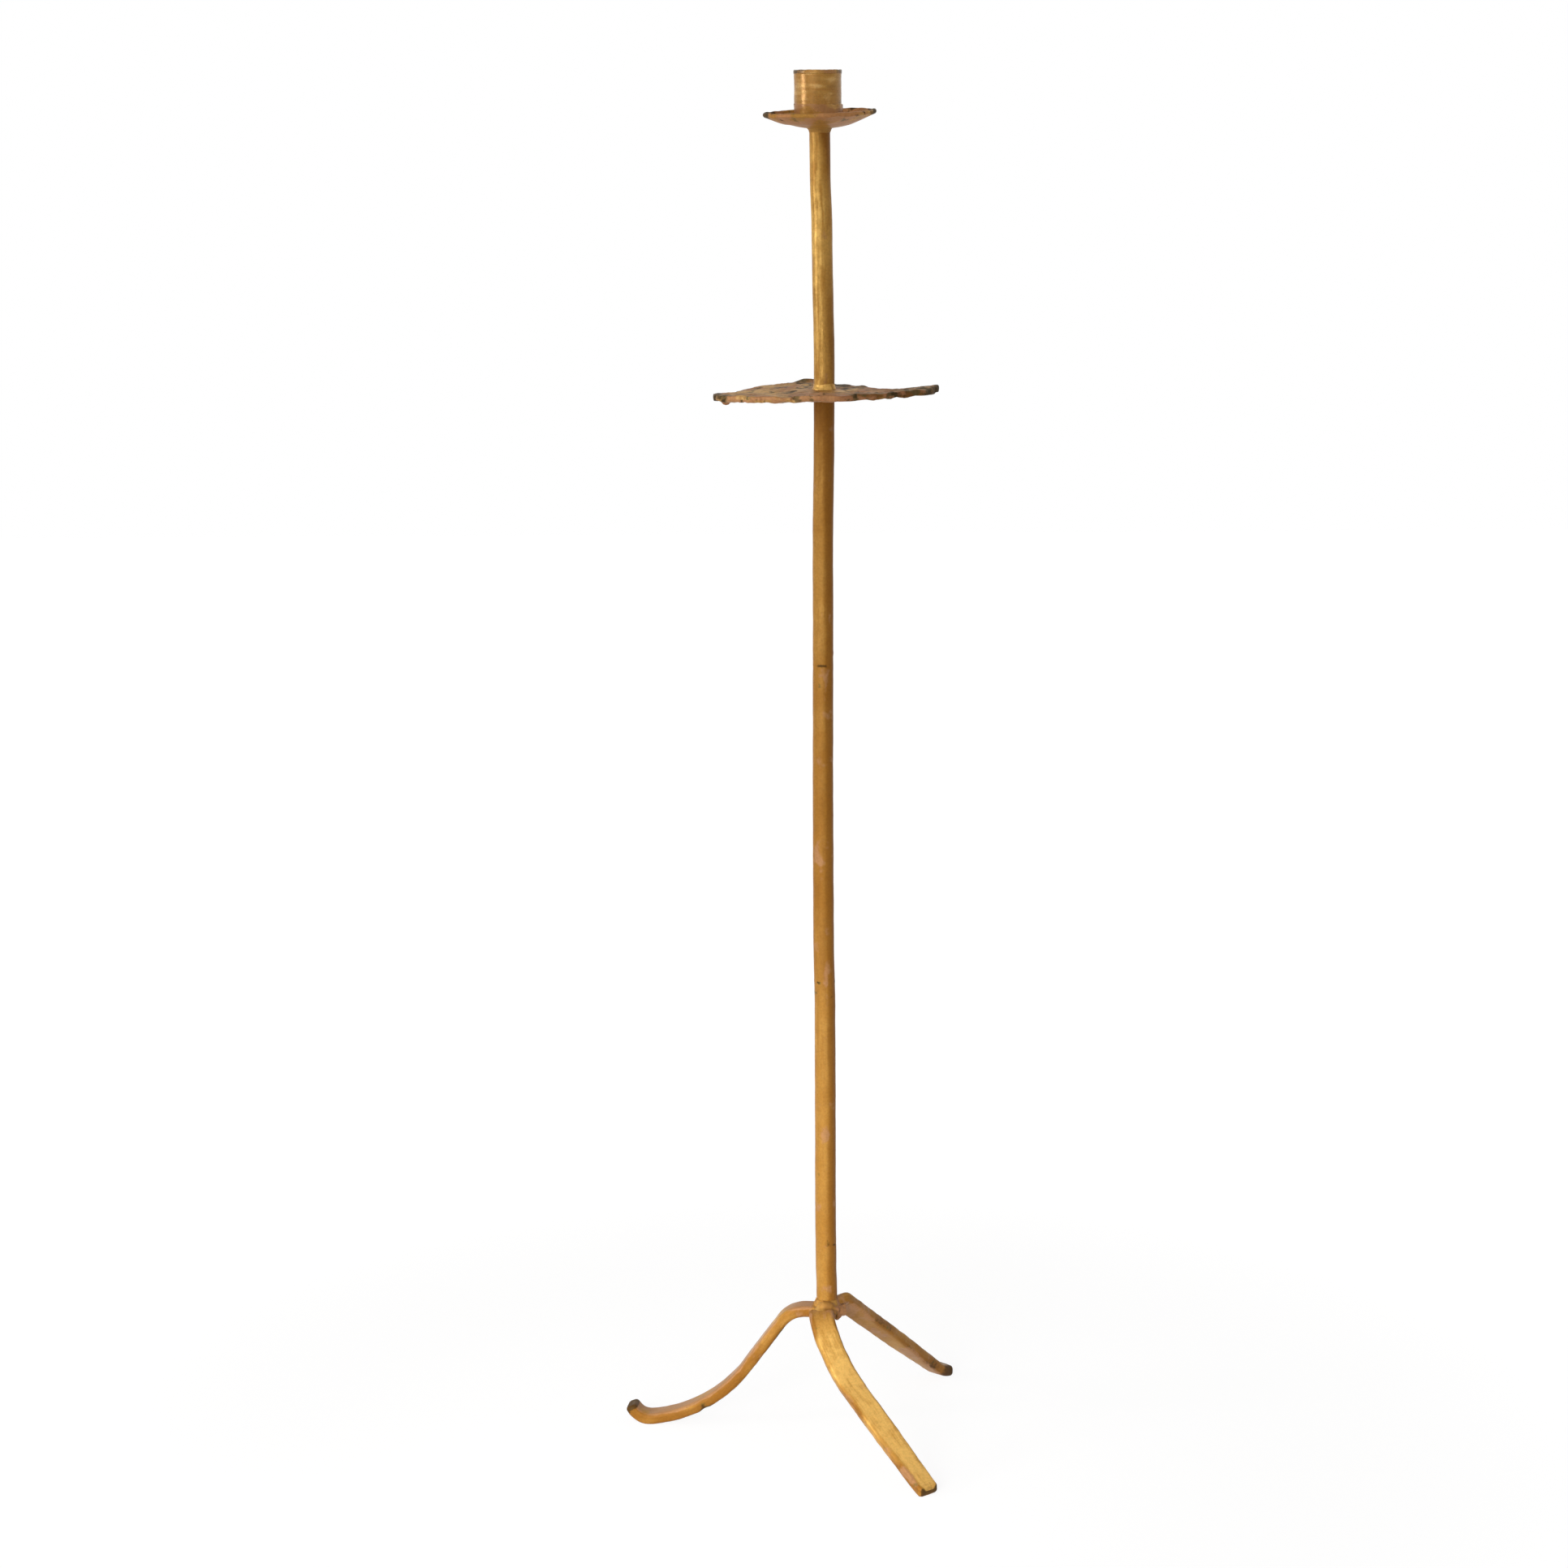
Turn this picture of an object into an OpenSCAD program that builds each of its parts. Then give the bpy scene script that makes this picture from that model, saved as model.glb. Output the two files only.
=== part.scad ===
// Floor-standing candle torchere in gilded wrought iron.
// A round bar stem stands on three bent flat-bar legs, carries a beaten dish
// between its two lengths, and ends in a drip pan with a candle cup.
// Millimetres, +Z up. The origin is on the floor, at the middle of the box
// round the three feet, and the front leg points roughly along -Y.

/* [Stem] */
// Diameter of the round bar
stem_d = 16; // [14:0.5:22]
// Length of the lower bar, from the legs' underside to the dish
lower_len = 746; // [500:1:900]
// Length of the upper bar, from the dish to the drip pan
upper_len = 197.5; // [120:0.5:300]
// Diameter of the stud that joins the two bars through the dish
stud_d = 8; // [5:0.5:10]
// Depth that the stud goes into each bar
stud_depth = 18; // [10:1:30]

/* [Leg bar] */
// Width of the flat bar
bar_w = 19; // [14:0.5:22]
// Thickness of the flat bar
bar_t = 9; // [6:0.5:10]
// Height of the bars' middle where they meet the stem
hub_height = 102; // [95:1:130]
// Radius of the bend at the very tip of each leg
tip_bend = 16; // [12:1:22]
// Depth of the flat worn under each foot
foot_wear = 0.3; // [0.2:0.05:0.6]

/* [Left leg] */
// Compass angle, from +X towards +Y
left_angle = 173; // [165:1:178]
// Sideways shift of the bar, along the direction 90 degrees on from its angle
left_shift = 1.5; // [-2:0.5:3]
// Distance from the stem's axis to the first bend
left_run = 11.5; // [10:0.5:16]
// Radius of the first bend
left_shoulder = 33; // [20:1:38]
// Slope of the leg below the first bend, in degrees
left_slope = 54; // [50:0.5:58]
// Radius of the sweep into the foot
left_sweep = 116; // [80:1:130]
// Slope that is left at the foot, in degrees
left_foot_slope = 9; // [4:0.5:12]
// Straight length between the sweep and the tip
left_foot = 2; // [1:0.5:8]
// Angle by which the tip curls up above the floor
left_curl = 72; // [40:1:80]

/* [Front leg] */
// Compass angle of the foot, from +X towards +Y
front_angle = 305.5; // [300:0.5:310]
// Sideways shift of the foot, along the direction 90 degrees on from its angle
front_shift = -18; // [-21:0.5:-14]
// Angle by which the bar leaves the stem short of the foot's own angle
front_turn = 40; // [30:1:44]
// Length of the root before the sideways bend, measured along the foot's angle
front_root = 9.5; // [8:0.5:16]
// Radius of the sideways bend
front_side_bend = 30; // [26:1:50]
// Distance from the stem's axis to the first bend
front_run = 9; // [8:0.5:14]
// Radius of the first bend
front_shoulder = 14; // [8:0.5:18]
// Slope of the leg below the first bend, in degrees
front_slope = 50.5; // [46:0.5:54]
// Radius of the sweep into the foot
front_sweep = 104; // [90:1:150]
// Slope that is left at the foot, in degrees
front_foot_slope = 29; // [24:0.5:31]
// Straight length between the sweep and the tip
front_foot = 102; // [80:1:110]
// Angle by which the tip curls up above the floor
front_curl = 1; // [0.5:0.5:20]

/* [Right leg] */
// Compass angle, from +X towards +Y
right_angle = 50; // [42:1:56]
// Sideways shift of the bar, along the direction 90 degrees on from its angle
right_shift = -1.5; // [-4:0.5:2]
// Distance from the stem's axis to the first bend
right_run = 19; // [12:0.5:24]
// Radius of the first bend
right_shoulder = 9; // [7:0.5:14]
// Slope of the leg below the first bend, in degrees
right_slope = 37.2; // [34:0.2:42]
// Radius of the sweep into the foot
right_sweep = 30; // [20:1:60]
// Slope that is left at the foot, in degrees
right_foot_slope = 12; // [8:0.5:20]
// Straight length between the sweep and the tip
right_foot = 1; // [1:0.5:12]
// Angle by which the tip curls up above the floor
right_curl = 1; // [0.5:0.5:20]

/* [Dish] */
// Mean diameter of the beaten dish
dish_d = 174; // [140:1:190]
// Thickness of the dish
dish_t = 4; // [3:0.25:6]
// How far the torn edge wanders in and out
dish_wander = 3; // [0.5:0.5:5]

/* [Drip pan] */
// Diameter of the pan over its rim
pan_d = 86; // [70:1:100]
// Depth of the pan's outside below the middle of its rim
pan_depth = 11; // [8:0.5:14]
// Thickness of the pan's wall
pan_wall = 2; // [1.5:0.25:2.5]
// Thickness of the pan's rolled rim
pan_rim = 3.4; // [2.6:0.2:4]
// Thickness of the pan's flat middle, between the stem and the cup
pan_floor = 3.5; // [3:0.25:5]

/* [Candle cup] */
// Diameter of the socket that the candle stands in
socket_d = 32; // [28:0.5:36]
// Thickness of the cup's wall
cup_wall = 2; // [1.5:0.25:3]
// Thickness of the cup's bottom
cup_floor = 3.5; // [3.25:0.25:5]
// Depth of the socket
socket_depth = 36.5; // [25:0.5:45]
// Height of the collar round the cup's foot
collar_height = 15; // [8:0.5:20]
// Thickness of the collar
collar_wall = 0.8; // [0.5:0.1:1.5]
// Diameter of the screw that holds the cup and the pan
screw_d = 6; // [4:0.5:8]
// Length of the screw in the stem
screw_depth = 14; // [8:1:18]

/* [Welds and fits] */
// Size of the weld bead round the stem above the legs
root_bead = 2.6; // [1.5:0.1:3]
// Height of the weld on top of the dish
dish_weld_h = 4.5; // [2:0.5:7]
// Width of the weld on top of the dish
dish_weld_w = 3.5; // [2:0.5:6]
// Height of the weld below the drip pan
pan_weld_h = 4; // [2:0.5:7]
// Width of the weld below the drip pan
pan_weld_w = 4.5; // [2:0.5:6]
// Gap left all round where one round piece sits in or on another
seat_gap = 0.05; // [0.03:0.01:0.15]
// Spare depth at the bottom of the stud's and the screw's holes
hole_spare = 1; // [0.5:0.5:3]

/* [Hidden] */
$fn = 96;

iron_gilt = "#c8974a";
iron_brown = "#8a5a34";

stem_r = stem_d / 2;
pan_r = pan_d / 2;
socket_r = socket_d / 2;
cup_r = socket_r + cup_wall;
collar_r = cup_r + seat_gap + collar_wall;
screw_r = screw_d / 2;
stud_r = stud_d / 2;
// The countersunk head is as tall as it is wide beyond its shank
head_rise = 2.6;
// Points round the dish's edge
dish_points = 72;
// Degrees between the points of a bend
bend_step = 3;

// Heights, from the floor up
stem_foot_z = hub_height - bar_t / 2;
dish_z = stem_foot_z + lower_len;
dish_top_z = dish_z + dish_t;
pan_z = dish_top_z + upper_len;
cup_z = pan_z + pan_floor;

// The pan's underside is a sphere, flattened where it sits on the stem
pan_ball_r = (pow(pan_r, 2) + pow(pan_depth, 2)) / (2 * pan_depth);
pan_ball_z = sqrt(pow(pan_ball_r, 2) - pow(stem_r, 2));
pan_rim_z = pan_ball_z - sqrt(pow(pan_ball_r, 2) - pow(pan_r - pan_rim / 2, 2)) + pan_rim / 2;

// One leg as a list: angle, shift, run, shoulder, slope, sweep, foot slope, foot, curl,
// then for the leg that is also bent sideways: turn, root, side bend
left_leg = [
    left_angle, left_shift, left_run, left_shoulder, left_slope,
    left_sweep, left_foot_slope, left_foot, left_curl
];
front_leg = [
    front_angle, front_shift, front_run, front_shoulder, front_slope,
    front_sweep, front_foot_slope, front_foot, front_curl,
    front_turn, front_root, front_side_bend
];
right_leg = [
    right_angle, right_shift, right_run, right_shoulder, right_slope,
    right_sweep, right_foot_slope, right_foot, right_curl
];
function angle_of(leg) = leg[0];
function shift_of(leg) = leg[1];
function run_of(leg) = leg[2];
function shoulder_of(leg) = leg[3];
function slope_of(leg) = leg[4];
function sweep_of(leg) = leg[5];
function foot_slope_of(leg) = leg[6];
function foot_of(leg) = leg[7];
function curl_of(leg) = leg[8];
function turn_of(leg) = is_undef(leg[9]) ? 0 : leg[9];
function root_of(leg) = leg[10];
function side_bend_of(leg) = leg[11];
function root_angle_of(leg) = angle_of(leg) - turn_of(leg);

// Drop of a bend between two slopes, and its reach outwards
function bend_drop(radius, from, to) = radius * abs(cos(from) - cos(to));
function bend_reach(radius, from, to) = radius * abs(sin(from) - sin(to));

// The straight shank takes up what the bends and the foot leave of the hub's height
function shank(leg) =
    (stem_foot_z + foot_wear
        - bend_drop(shoulder_of(leg), 0, slope_of(leg))
        - bend_drop(sweep_of(leg), slope_of(leg), foot_slope_of(leg))
        - foot_of(leg) * sin(foot_slope_of(leg))
        - bend_drop(tip_bend, foot_slope_of(leg), 0)) / sin(slope_of(leg));

// Ends of the leg's stretches, as [distance from the stem's axis, height]
function after_shoulder(leg) = [
    run_of(leg) + bend_reach(shoulder_of(leg), 0, slope_of(leg)),
    hub_height - bend_drop(shoulder_of(leg), 0, slope_of(leg))
];
function after_shank(leg) =
    after_shoulder(leg) + shank(leg) * [cos(slope_of(leg)), -sin(slope_of(leg))];
function after_sweep(leg) = after_shank(leg) + [
    bend_reach(sweep_of(leg), slope_of(leg), foot_slope_of(leg)),
    -bend_drop(sweep_of(leg), slope_of(leg), foot_slope_of(leg))
];
function after_foot(leg) =
    after_sweep(leg) + foot_of(leg) * [cos(foot_slope_of(leg)), -sin(foot_slope_of(leg))];
function tip_reach(leg) =
    after_foot(leg)[0] + tip_bend * (sin(foot_slope_of(leg)) + sin(curl_of(leg)))
        + bar_t / 2 * sin(curl_of(leg));

// Corners of the tips on the floor plan, and the middle of the box round them
function tip_corner(leg, side) =
    tip_reach(leg) * [cos(angle_of(leg)), sin(angle_of(leg))]
        + (shift_of(leg) + side * bar_w / 2) * [-sin(angle_of(leg)), cos(angle_of(leg))];
corners = [for (leg = [left_leg, front_leg, right_leg], side = [-1, 1]) tip_corner(leg, side)];
corner_x = [for (c = corners) c[0]];
corner_y = [for (c = corners) c[1]];
stem_x = -(min(corner_x) + max(corner_x)) / 2;
stem_y = -(min(corner_y) + max(corner_y)) / 2;
// The mitres between the legs' roots lie halfway between their angles
right_left_mitre = (root_angle_of(right_leg) + root_angle_of(left_leg)) / 2;
left_front_mitre = (root_angle_of(left_leg) + root_angle_of(front_leg)) / 2;
front_right_mitre = (root_angle_of(front_leg) + root_angle_of(right_leg) + 360) / 2;
// The floor's cut goes well past every tip
floor_reach = 2 * max([for (leg = [left_leg, front_leg, right_leg]) tip_reach(leg)]);

module on_stem(height = 0) {
    translate([stem_x, stem_y, height]) children();
}

// Points round a bend, about one for every three degrees
function bend(centre, radius, from, to) =
    let (steps = max(2, ceil(abs(to - from) / bend_step)))
        [for (i = [0:steps])
            let (a = from + (to - from) * i / steps)
                centre + radius * [cos(a), sin(a)]];

// Outline of the bent bar seen from its side, X outwards: out along its top
// and back along its underside
function bar_outline(leg) =
    let (
        slope = slope_of(leg),
        foot_slope = foot_slope_of(leg),
        half = bar_t / 2,
        shoulder_centre = [run_of(leg), hub_height - shoulder_of(leg)],
        sweep_centre = after_shank(leg) + sweep_of(leg) * [sin(slope), cos(slope)],
        tip_centre = after_foot(leg) + tip_bend * [sin(foot_slope), cos(foot_slope)]
    )
        concat(
            [[-bar_w, hub_height + half]],
            bend(shoulder_centre, shoulder_of(leg) + half, 90, 90 - slope),
            bend(sweep_centre, sweep_of(leg) - half, -90 - slope, -90 - foot_slope),
            bend(tip_centre, tip_bend - half, -90 - foot_slope, -90 + curl_of(leg)),
            bend(tip_centre, tip_bend + half, -90 + curl_of(leg), -90 - foot_slope),
            bend(sweep_centre, sweep_of(leg) + half, -90 - foot_slope, -90 - slope),
            bend(shoulder_centre, shoulder_of(leg) - half, 90 - slope, 90),
            [[-bar_w, hub_height - half]]
        );

// Outline of the bar seen from above, X along the foot: straight, or with its
// root turned aside by a bend
function bar_plan(leg) =
    let (
        turn = turn_of(leg),
        half = bar_w / 2,
        far = floor_reach
    )
        turn == 0
            ? [[0, -half], [far, -half], [far, half], [0, half]]
            : let (
                radius = side_bend_of(leg),
                centre = [root_of(leg) + radius * sin(turn), radius],
                back = -(root_of(leg) / cos(turn)) * [cos(turn), -sin(turn)],
                start = centre - radius * [sin(turn), cos(turn)],
                across = half * [sin(turn), cos(turn)]
            )
                concat(
                    [start + back - across],
                    bend(centre, radius + half, -90 - turn, -90),
                    [[far, -half], [far, half]],
                    bend(centre, radius - half, -90, -90 - turn),
                    [start + back + across]
                );

// The whole bar, X along its foot: its side and its plan, cut out of one another
module leg_bar(leg) {
    intersection() {
        translate([0, floor_reach, 0])
            rotate([90, 0, 0])
                linear_extrude(height = 2 * floor_reach)
                    polygon(bar_outline(leg));
        linear_extrude(height = hub_height + bar_t)
            polygon(bar_plan(leg));
    }
}

// The wedge of the floor plan that one leg keeps to, its point just off the
// stem's axis, so that neighbours' roots meet in a mitre
module leg_wedge(from, to) {
    middle = (from + to) / 2;
    translate(seat_gap * [cos(middle), sin(middle)])
        linear_extrude(height = hub_height + bar_t)
            polygon([
                [0, 0],
                2 * floor_reach * [cos(from), sin(from)],
                3 * floor_reach * [cos(middle), sin(middle)],
                2 * floor_reach * [cos(to), sin(to)]
            ]);
}

// The bar turned to its place, mitred against its neighbours, coped round the
// stem and worn flat on the floor
module leg(leg, from, to) {
    difference() {
        on_stem()
            intersection() {
                rotate([0, 0, angle_of(leg)])
                    translate([0, shift_of(leg), 0])
                        leg_bar(leg);
                leg_wedge(from, to);
            }
        on_stem(stem_foot_z - bar_t)
            cylinder(r = stem_r + seat_gap, h = 3 * bar_t);
        translate([-floor_reach, -floor_reach, -bar_t])
            cube([2 * floor_reach, 2 * floor_reach, bar_t]);
    }
}

module leg_left() {
    color(iron_gilt) leg(left_leg, right_left_mitre, left_front_mitre);
}

module leg_front() {
    color(iron_gilt) leg(front_leg, left_front_mitre, front_right_mitre);
}

module leg_right() {
    color(iron_gilt) leg(right_leg, front_right_mitre - 360, right_left_mitre);
}

module stem_lower() {
    color(iron_gilt)
        on_stem(stem_foot_z)
            difference() {
                cylinder(r = stem_r, h = lower_len);
                translate([0, 0, lower_len - stud_depth - hole_spare])
                    cylinder(r = stud_r + seat_gap, h = stud_depth + hole_spare + 1);
            }
}

module stem_upper() {
    color(iron_gilt)
        on_stem(dish_top_z)
            difference() {
                cylinder(r = stem_r, h = upper_len);
                translate([0, 0, -1])
                    cylinder(r = stud_r + seat_gap, h = stud_depth + hole_spare + 1);
                translate([0, 0, upper_len - screw_depth - hole_spare])
                    cylinder(r = screw_r + seat_gap, h = screw_depth + hole_spare + 1);
            }
}

module stem_stud() {
    color(iron_brown)
        on_stem(dish_z - stud_depth)
            cylinder(r = stud_r, h = 2 * stud_depth + dish_t);
}

// The torn edge wanders by three waves of unequal length
function dish_edge(a) =
    dish_d / 2 + dish_wander * (0.45 * sin(2 * a + 20) + 0.3 * sin(5 * a + 75) + 0.25 * sin(11 * a));

module dish() {
    color(iron_brown)
        on_stem(dish_z)
            difference() {
                linear_extrude(height = dish_t)
                    polygon([
                        for (i = [0:dish_points - 1])
                            let (a = 360 * i / dish_points)
                                dish_edge(a) * [cos(a), sin(a)]
                    ]);
                translate([0, 0, -1])
                    cylinder(r = stud_r + seat_gap, h = dish_t + 2);
            }
}

// A fillet round the stem: widest at its base, sloping in to the bar
module stem_fillet(width, height) {
    rotate_extrude()
        polygon([
            [stem_r + seat_gap, 0],
            [stem_r + seat_gap + width, 0],
            [stem_r + seat_gap + 0.35 * width, 0.45 * height],
            [stem_r + seat_gap, height]
        ]);
}

module dish_weld() {
    color(iron_gilt)
        on_stem(dish_top_z)
            stem_fillet(dish_weld_w, dish_weld_h);
}

// A bead laid round the stem in the corner above the three legs
module root_weld() {
    color(iron_brown)
        difference() {
            on_stem(hub_height + bar_t / 2)
                rotate_extrude()
                    translate([stem_r, 0])
                        circle(r = root_bead);
            on_stem(stem_foot_z)
                cylinder(r = stem_r + seat_gap, h = 4 * bar_t);
            on_stem(stem_foot_z)
                cylinder(r = 2 * stem_r, h = bar_t);
        }
}

// The pan's ball, its centre above the seat on the stem
module pan_ball(radius) {
    translate([0, 0, pan_ball_z])
        sphere(r = radius);
}

module drip_pan() {
    color(iron_brown)
        on_stem(pan_z)
            difference() {
                union() {
                    rotate_extrude()
                        intersection() {
                            translate([0, pan_ball_z])
                                difference() {
                                    circle(r = pan_ball_r);
                                    circle(r = pan_ball_r - pan_wall);
                                }
                            square([pan_r - pan_rim / 2, pan_rim_z]);
                        }
                    rotate_extrude()
                        translate([pan_r - pan_rim / 2, pan_rim_z])
                            circle(r = pan_rim / 2);
                    intersection() {
                        cylinder(r = collar_r + pan_wall, h = pan_floor);
                        pan_ball(pan_ball_r);
                    }
                }
                translate([0, 0, pan_floor])
                    cylinder(r = collar_r + seat_gap, h = pan_depth);
                translate([0, 0, -1])
                    cylinder(r = screw_r + seat_gap, h = pan_floor + 2);
            }
}

// The weld below the pan, hollowed to the pan's ball
module pan_weld() {
    color(iron_brown)
        on_stem(pan_z)
            difference() {
                translate([0, 0, pan_floor])
                    mirror([0, 0, 1])
                        stem_fillet(pan_weld_w, pan_weld_h + pan_floor);
                pan_ball(pan_ball_r);
                cylinder(r = 2 * pan_r, h = 2 * pan_floor);
            }
}

module candle_cup() {
    color(iron_gilt)
        on_stem(cup_z)
            difference() {
                cylinder(r = cup_r, h = cup_floor + socket_depth);
                translate([0, 0, cup_floor])
                    cylinder(r = socket_r, h = socket_depth + 1);
                translate([0, 0, -1])
                    cylinder(r = screw_r + seat_gap, h = cup_floor + 1);
                translate([0, 0, cup_floor - head_rise])
                    cylinder(
                        r1 = screw_r + seat_gap,
                        r2 = screw_r + seat_gap + head_rise,
                        h = head_rise
                    );
            }
}

// A strip wrapped round the foot of the cup
module cup_collar() {
    color(iron_gilt)
        on_stem(cup_z)
            difference() {
                cylinder(r = collar_r, h = collar_height);
                translate([0, 0, -1])
                    cylinder(r = cup_r + seat_gap, h = collar_height + 2);
            }
}

// Countersunk screw, flush with the bottom of the socket
module cup_screw() {
    color(iron_brown)
        on_stem(pan_z - screw_depth) {
            cylinder(r = screw_r, h = screw_depth + pan_floor + cup_floor);
            translate([0, 0, screw_depth + pan_floor + cup_floor - head_rise])
                cylinder(r1 = screw_r, r2 = screw_r + head_rise, h = head_rise);
        }
}

stem_lower();
stem_upper();
stem_stud();
dish();
dish_weld();
leg_left();
leg_front();
leg_right();
root_weld();
drip_pan();
pan_weld();
candle_cup();
cup_collar();
cup_screw();
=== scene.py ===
import bpy
import bmesh
from math import asin, cos, hypot, pi, radians, sin, sqrt, tan
from mathutils import Matrix, Vector, noise


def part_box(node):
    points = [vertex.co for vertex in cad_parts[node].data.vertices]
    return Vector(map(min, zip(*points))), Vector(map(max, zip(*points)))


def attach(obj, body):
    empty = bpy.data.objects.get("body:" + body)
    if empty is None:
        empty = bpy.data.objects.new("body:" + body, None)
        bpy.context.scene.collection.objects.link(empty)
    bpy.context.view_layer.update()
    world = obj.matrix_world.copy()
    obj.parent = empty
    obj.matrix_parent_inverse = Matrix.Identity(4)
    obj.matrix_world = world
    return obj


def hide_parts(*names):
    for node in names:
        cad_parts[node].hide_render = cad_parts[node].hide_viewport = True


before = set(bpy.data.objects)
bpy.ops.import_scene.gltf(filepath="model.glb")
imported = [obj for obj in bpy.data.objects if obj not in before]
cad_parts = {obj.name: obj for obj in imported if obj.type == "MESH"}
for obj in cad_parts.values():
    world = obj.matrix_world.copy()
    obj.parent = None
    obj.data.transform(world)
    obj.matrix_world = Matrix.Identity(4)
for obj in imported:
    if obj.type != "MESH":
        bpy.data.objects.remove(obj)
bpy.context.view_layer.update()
scene = bpy.context.scene
mm = 0.001
print("frame loaded with", len(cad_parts), "nodes")

# the stem's axis and the heights that the pieces share, from the frame itself
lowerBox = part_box("stem_lower")
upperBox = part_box("stem_upper")
stemX = (lowerBox[0].x + lowerBox[1].x) / 2
stemY = (lowerBox[0].y + lowerBox[1].y) / 2
footZ = lowerBox[0].z
dishZ = lowerBox[1].z
dishTopZ = upperBox[0].z
panZ = upperBox[1].z
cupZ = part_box("candle_cup")[0].z

# the camera, fitted to the photograph
viewpoint = dict(
    place=(stemX - 0.03145, stemY - 2.62366, 1.05706), aim=(stemX - 0.03145, stemY, 0.53755),
    lens=77.871, sensor=36, roll=-0.0062, farthest=60,
)


# a new object in the scene
def addObject(name, data):
    made = bpy.data.objects.new(name, data)
    scene.collection.objects.link(made)
    return made


# a new object from a shape worked on in bmesh
def addMesh(name, work):
    mesh = bpy.data.meshes.new(name)
    work.to_mesh(mesh)
    work.free()
    return addObject(name, mesh)


def makeCamera(view):
    data = bpy.data.cameras.new("photoCamera")
    data.sensor_width = view["sensor"]
    data.lens = view["lens"]
    data.clip_end = view["farthest"]
    camera = addObject("photoCamera", data)
    place, aim = Vector(view["place"]), Vector(view["aim"])
    ahead = (aim - place).normalized()
    right = ahead.cross(Vector((0, 0, 1))).normalized()
    up = right.cross(ahead)
    turn = view["roll"]
    axes = Matrix((right * cos(turn) + up * sin(turn), up * cos(turn) - right * sin(turn), -ahead))
    matrix = axes.transposed().to_4x4()
    matrix.translation = place
    camera.matrix_world = matrix
    scene.camera = camera


makeCamera(viewpoint)
print("camera placed")


# one socket of a material; sums on it add Math nodes
class Wire:
    def __init__(self, tree, socket=None):
        self.tree = tree
        self.socket = socket

    # adds a node; its settings come first, then each socket gets a value or a link
    def node(self, kind, settings=None, sockets=None, out=0):
        made = self.tree.nodes.new("ShaderNode" + kind)
        for name, value in (settings or {}).items():
            setattr(made, name, value)
        for name, value in (sockets or {}).items():
            if isinstance(value, Wire):
                self.tree.links.new(value.socket, made.inputs[name])
            else:
                made.inputs[name].default_value = value
        return Wire(self.tree, made.outputs[out] if made.outputs else None)

    def sum(self, operation, *values):
        return self.node("Math", {"operation": operation}, dict(enumerate(values)))

    def __add__(self, other):
        return self.sum("ADD", self, other)

    def __sub__(self, other):
        return self.sum("SUBTRACT", self, other)

    def __rsub__(self, other):
        return self.sum("SUBTRACT", other, self)

    def __mul__(self, other):
        return self.sum("MULTIPLY", self, other)

    __radd__ = __add__
    __rmul__ = __mul__

    # 0 below low, 1 above high, smooth between
    def band(self, low, high):
        sockets = {"Value": self, "From Min": low, "From Max": high}
        return self.node("MapRange", {"interpolation_type": "SMOOTHSTEP"}, sockets)

    # this mask lays colour over under
    def lay(self, colour, under):
        settings = {"data_type": "RGBA", "clamp_factor": True}
        return self.node("Mix", settings, {0: self, 6: under, 7: colour}, out=2)


def rgb(colour):
    return (*colour, 1)


# a material with an empty tree, and the wire that builds it
def startMaterial(name):
    material = bpy.data.materials.new(name)
    material.use_nodes = True
    material.node_tree.nodes.clear()
    return material, Wire(material.node_tree)


# the gilding's colours and sheen on each kind of piece
giltLooks = dict(
    bar=dict(
        gold=(0.59, 0.322, 0.074), orange=(0.432, 0.202, 0.034), rose=(0.43, 0.215, 0.095),
        olive=(0.15, 0.112, 0.026), dark=(0.06, 0.028, 0.006), pale=(0.8, 0.487, 0.135),
        umberAndShade=(0.235, 0.08, 0.005), roseShare=0.1, oliveShare=0.1,
        metallic=0.25, roughness=0.34, gloss=0.17, bump=0.32,
    ),
    dish=dict(
        gold=(0.56, 0.31, 0.105), orange=(0.37, 0.165, 0.045), rose=(0.46, 0.21, 0.1),
        olive=(0.13, 0.1, 0.04), dark=(0.05, 0.032, 0.012), pale=(0.82, 0.52, 0.2),
        umberAndShade=(0.16, 0.062, 0.014), roseShare=0.3, oliveShare=0.5,
        metallic=0.1, roughness=0.46, gloss=0.05, bump=0.8,
    ),
    pan=dict(
        gold=(0.56, 0.3, 0.07), orange=(0.5, 0.225, 0.046), rose=(0.52, 0.24, 0.1),
        olive=(0.15, 0.115, 0.036), dark=(0.06, 0.037, 0.013), pale=(0.7, 0.41, 0.14),
        umberAndShade=(0.38, 0.17, 0.03), roseShare=0.45, oliveShare=0.16,
        metallic=0.15, roughness=0.45, gloss=0.1, bump=0.5,
    ),
    cup=dict(
        gold=(0.53, 0.28, 0.055), orange=(0.41, 0.185, 0.028), rose=(0.4, 0.18, 0.065),
        olive=(0.16, 0.135, 0.04), dark=(0.06, 0.034, 0.01), pale=(0.68, 0.43, 0.165),
        umberAndShade=(0.26, 0.115, 0.02), roseShare=0.16, oliveShare=0.12,
        metallic=0.25, roughness=0.28, gloss=0.48, bump=0.26,
    ),
    weld=dict(
        gold=(0.48, 0.255, 0.058), orange=(0.4, 0.18, 0.036), rose=(0.4, 0.185, 0.085),
        olive=(0.13, 0.095, 0.04), dark=(0.06, 0.03, 0.014), pale=(0.56, 0.335, 0.1),
        umberAndShade=(0.24, 0.105, 0.024), roseShare=0.3, oliveShare=0.14,
        metallic=0.18, roughness=0.46, gloss=0.14, bump=0.6,
    ),
)

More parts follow.
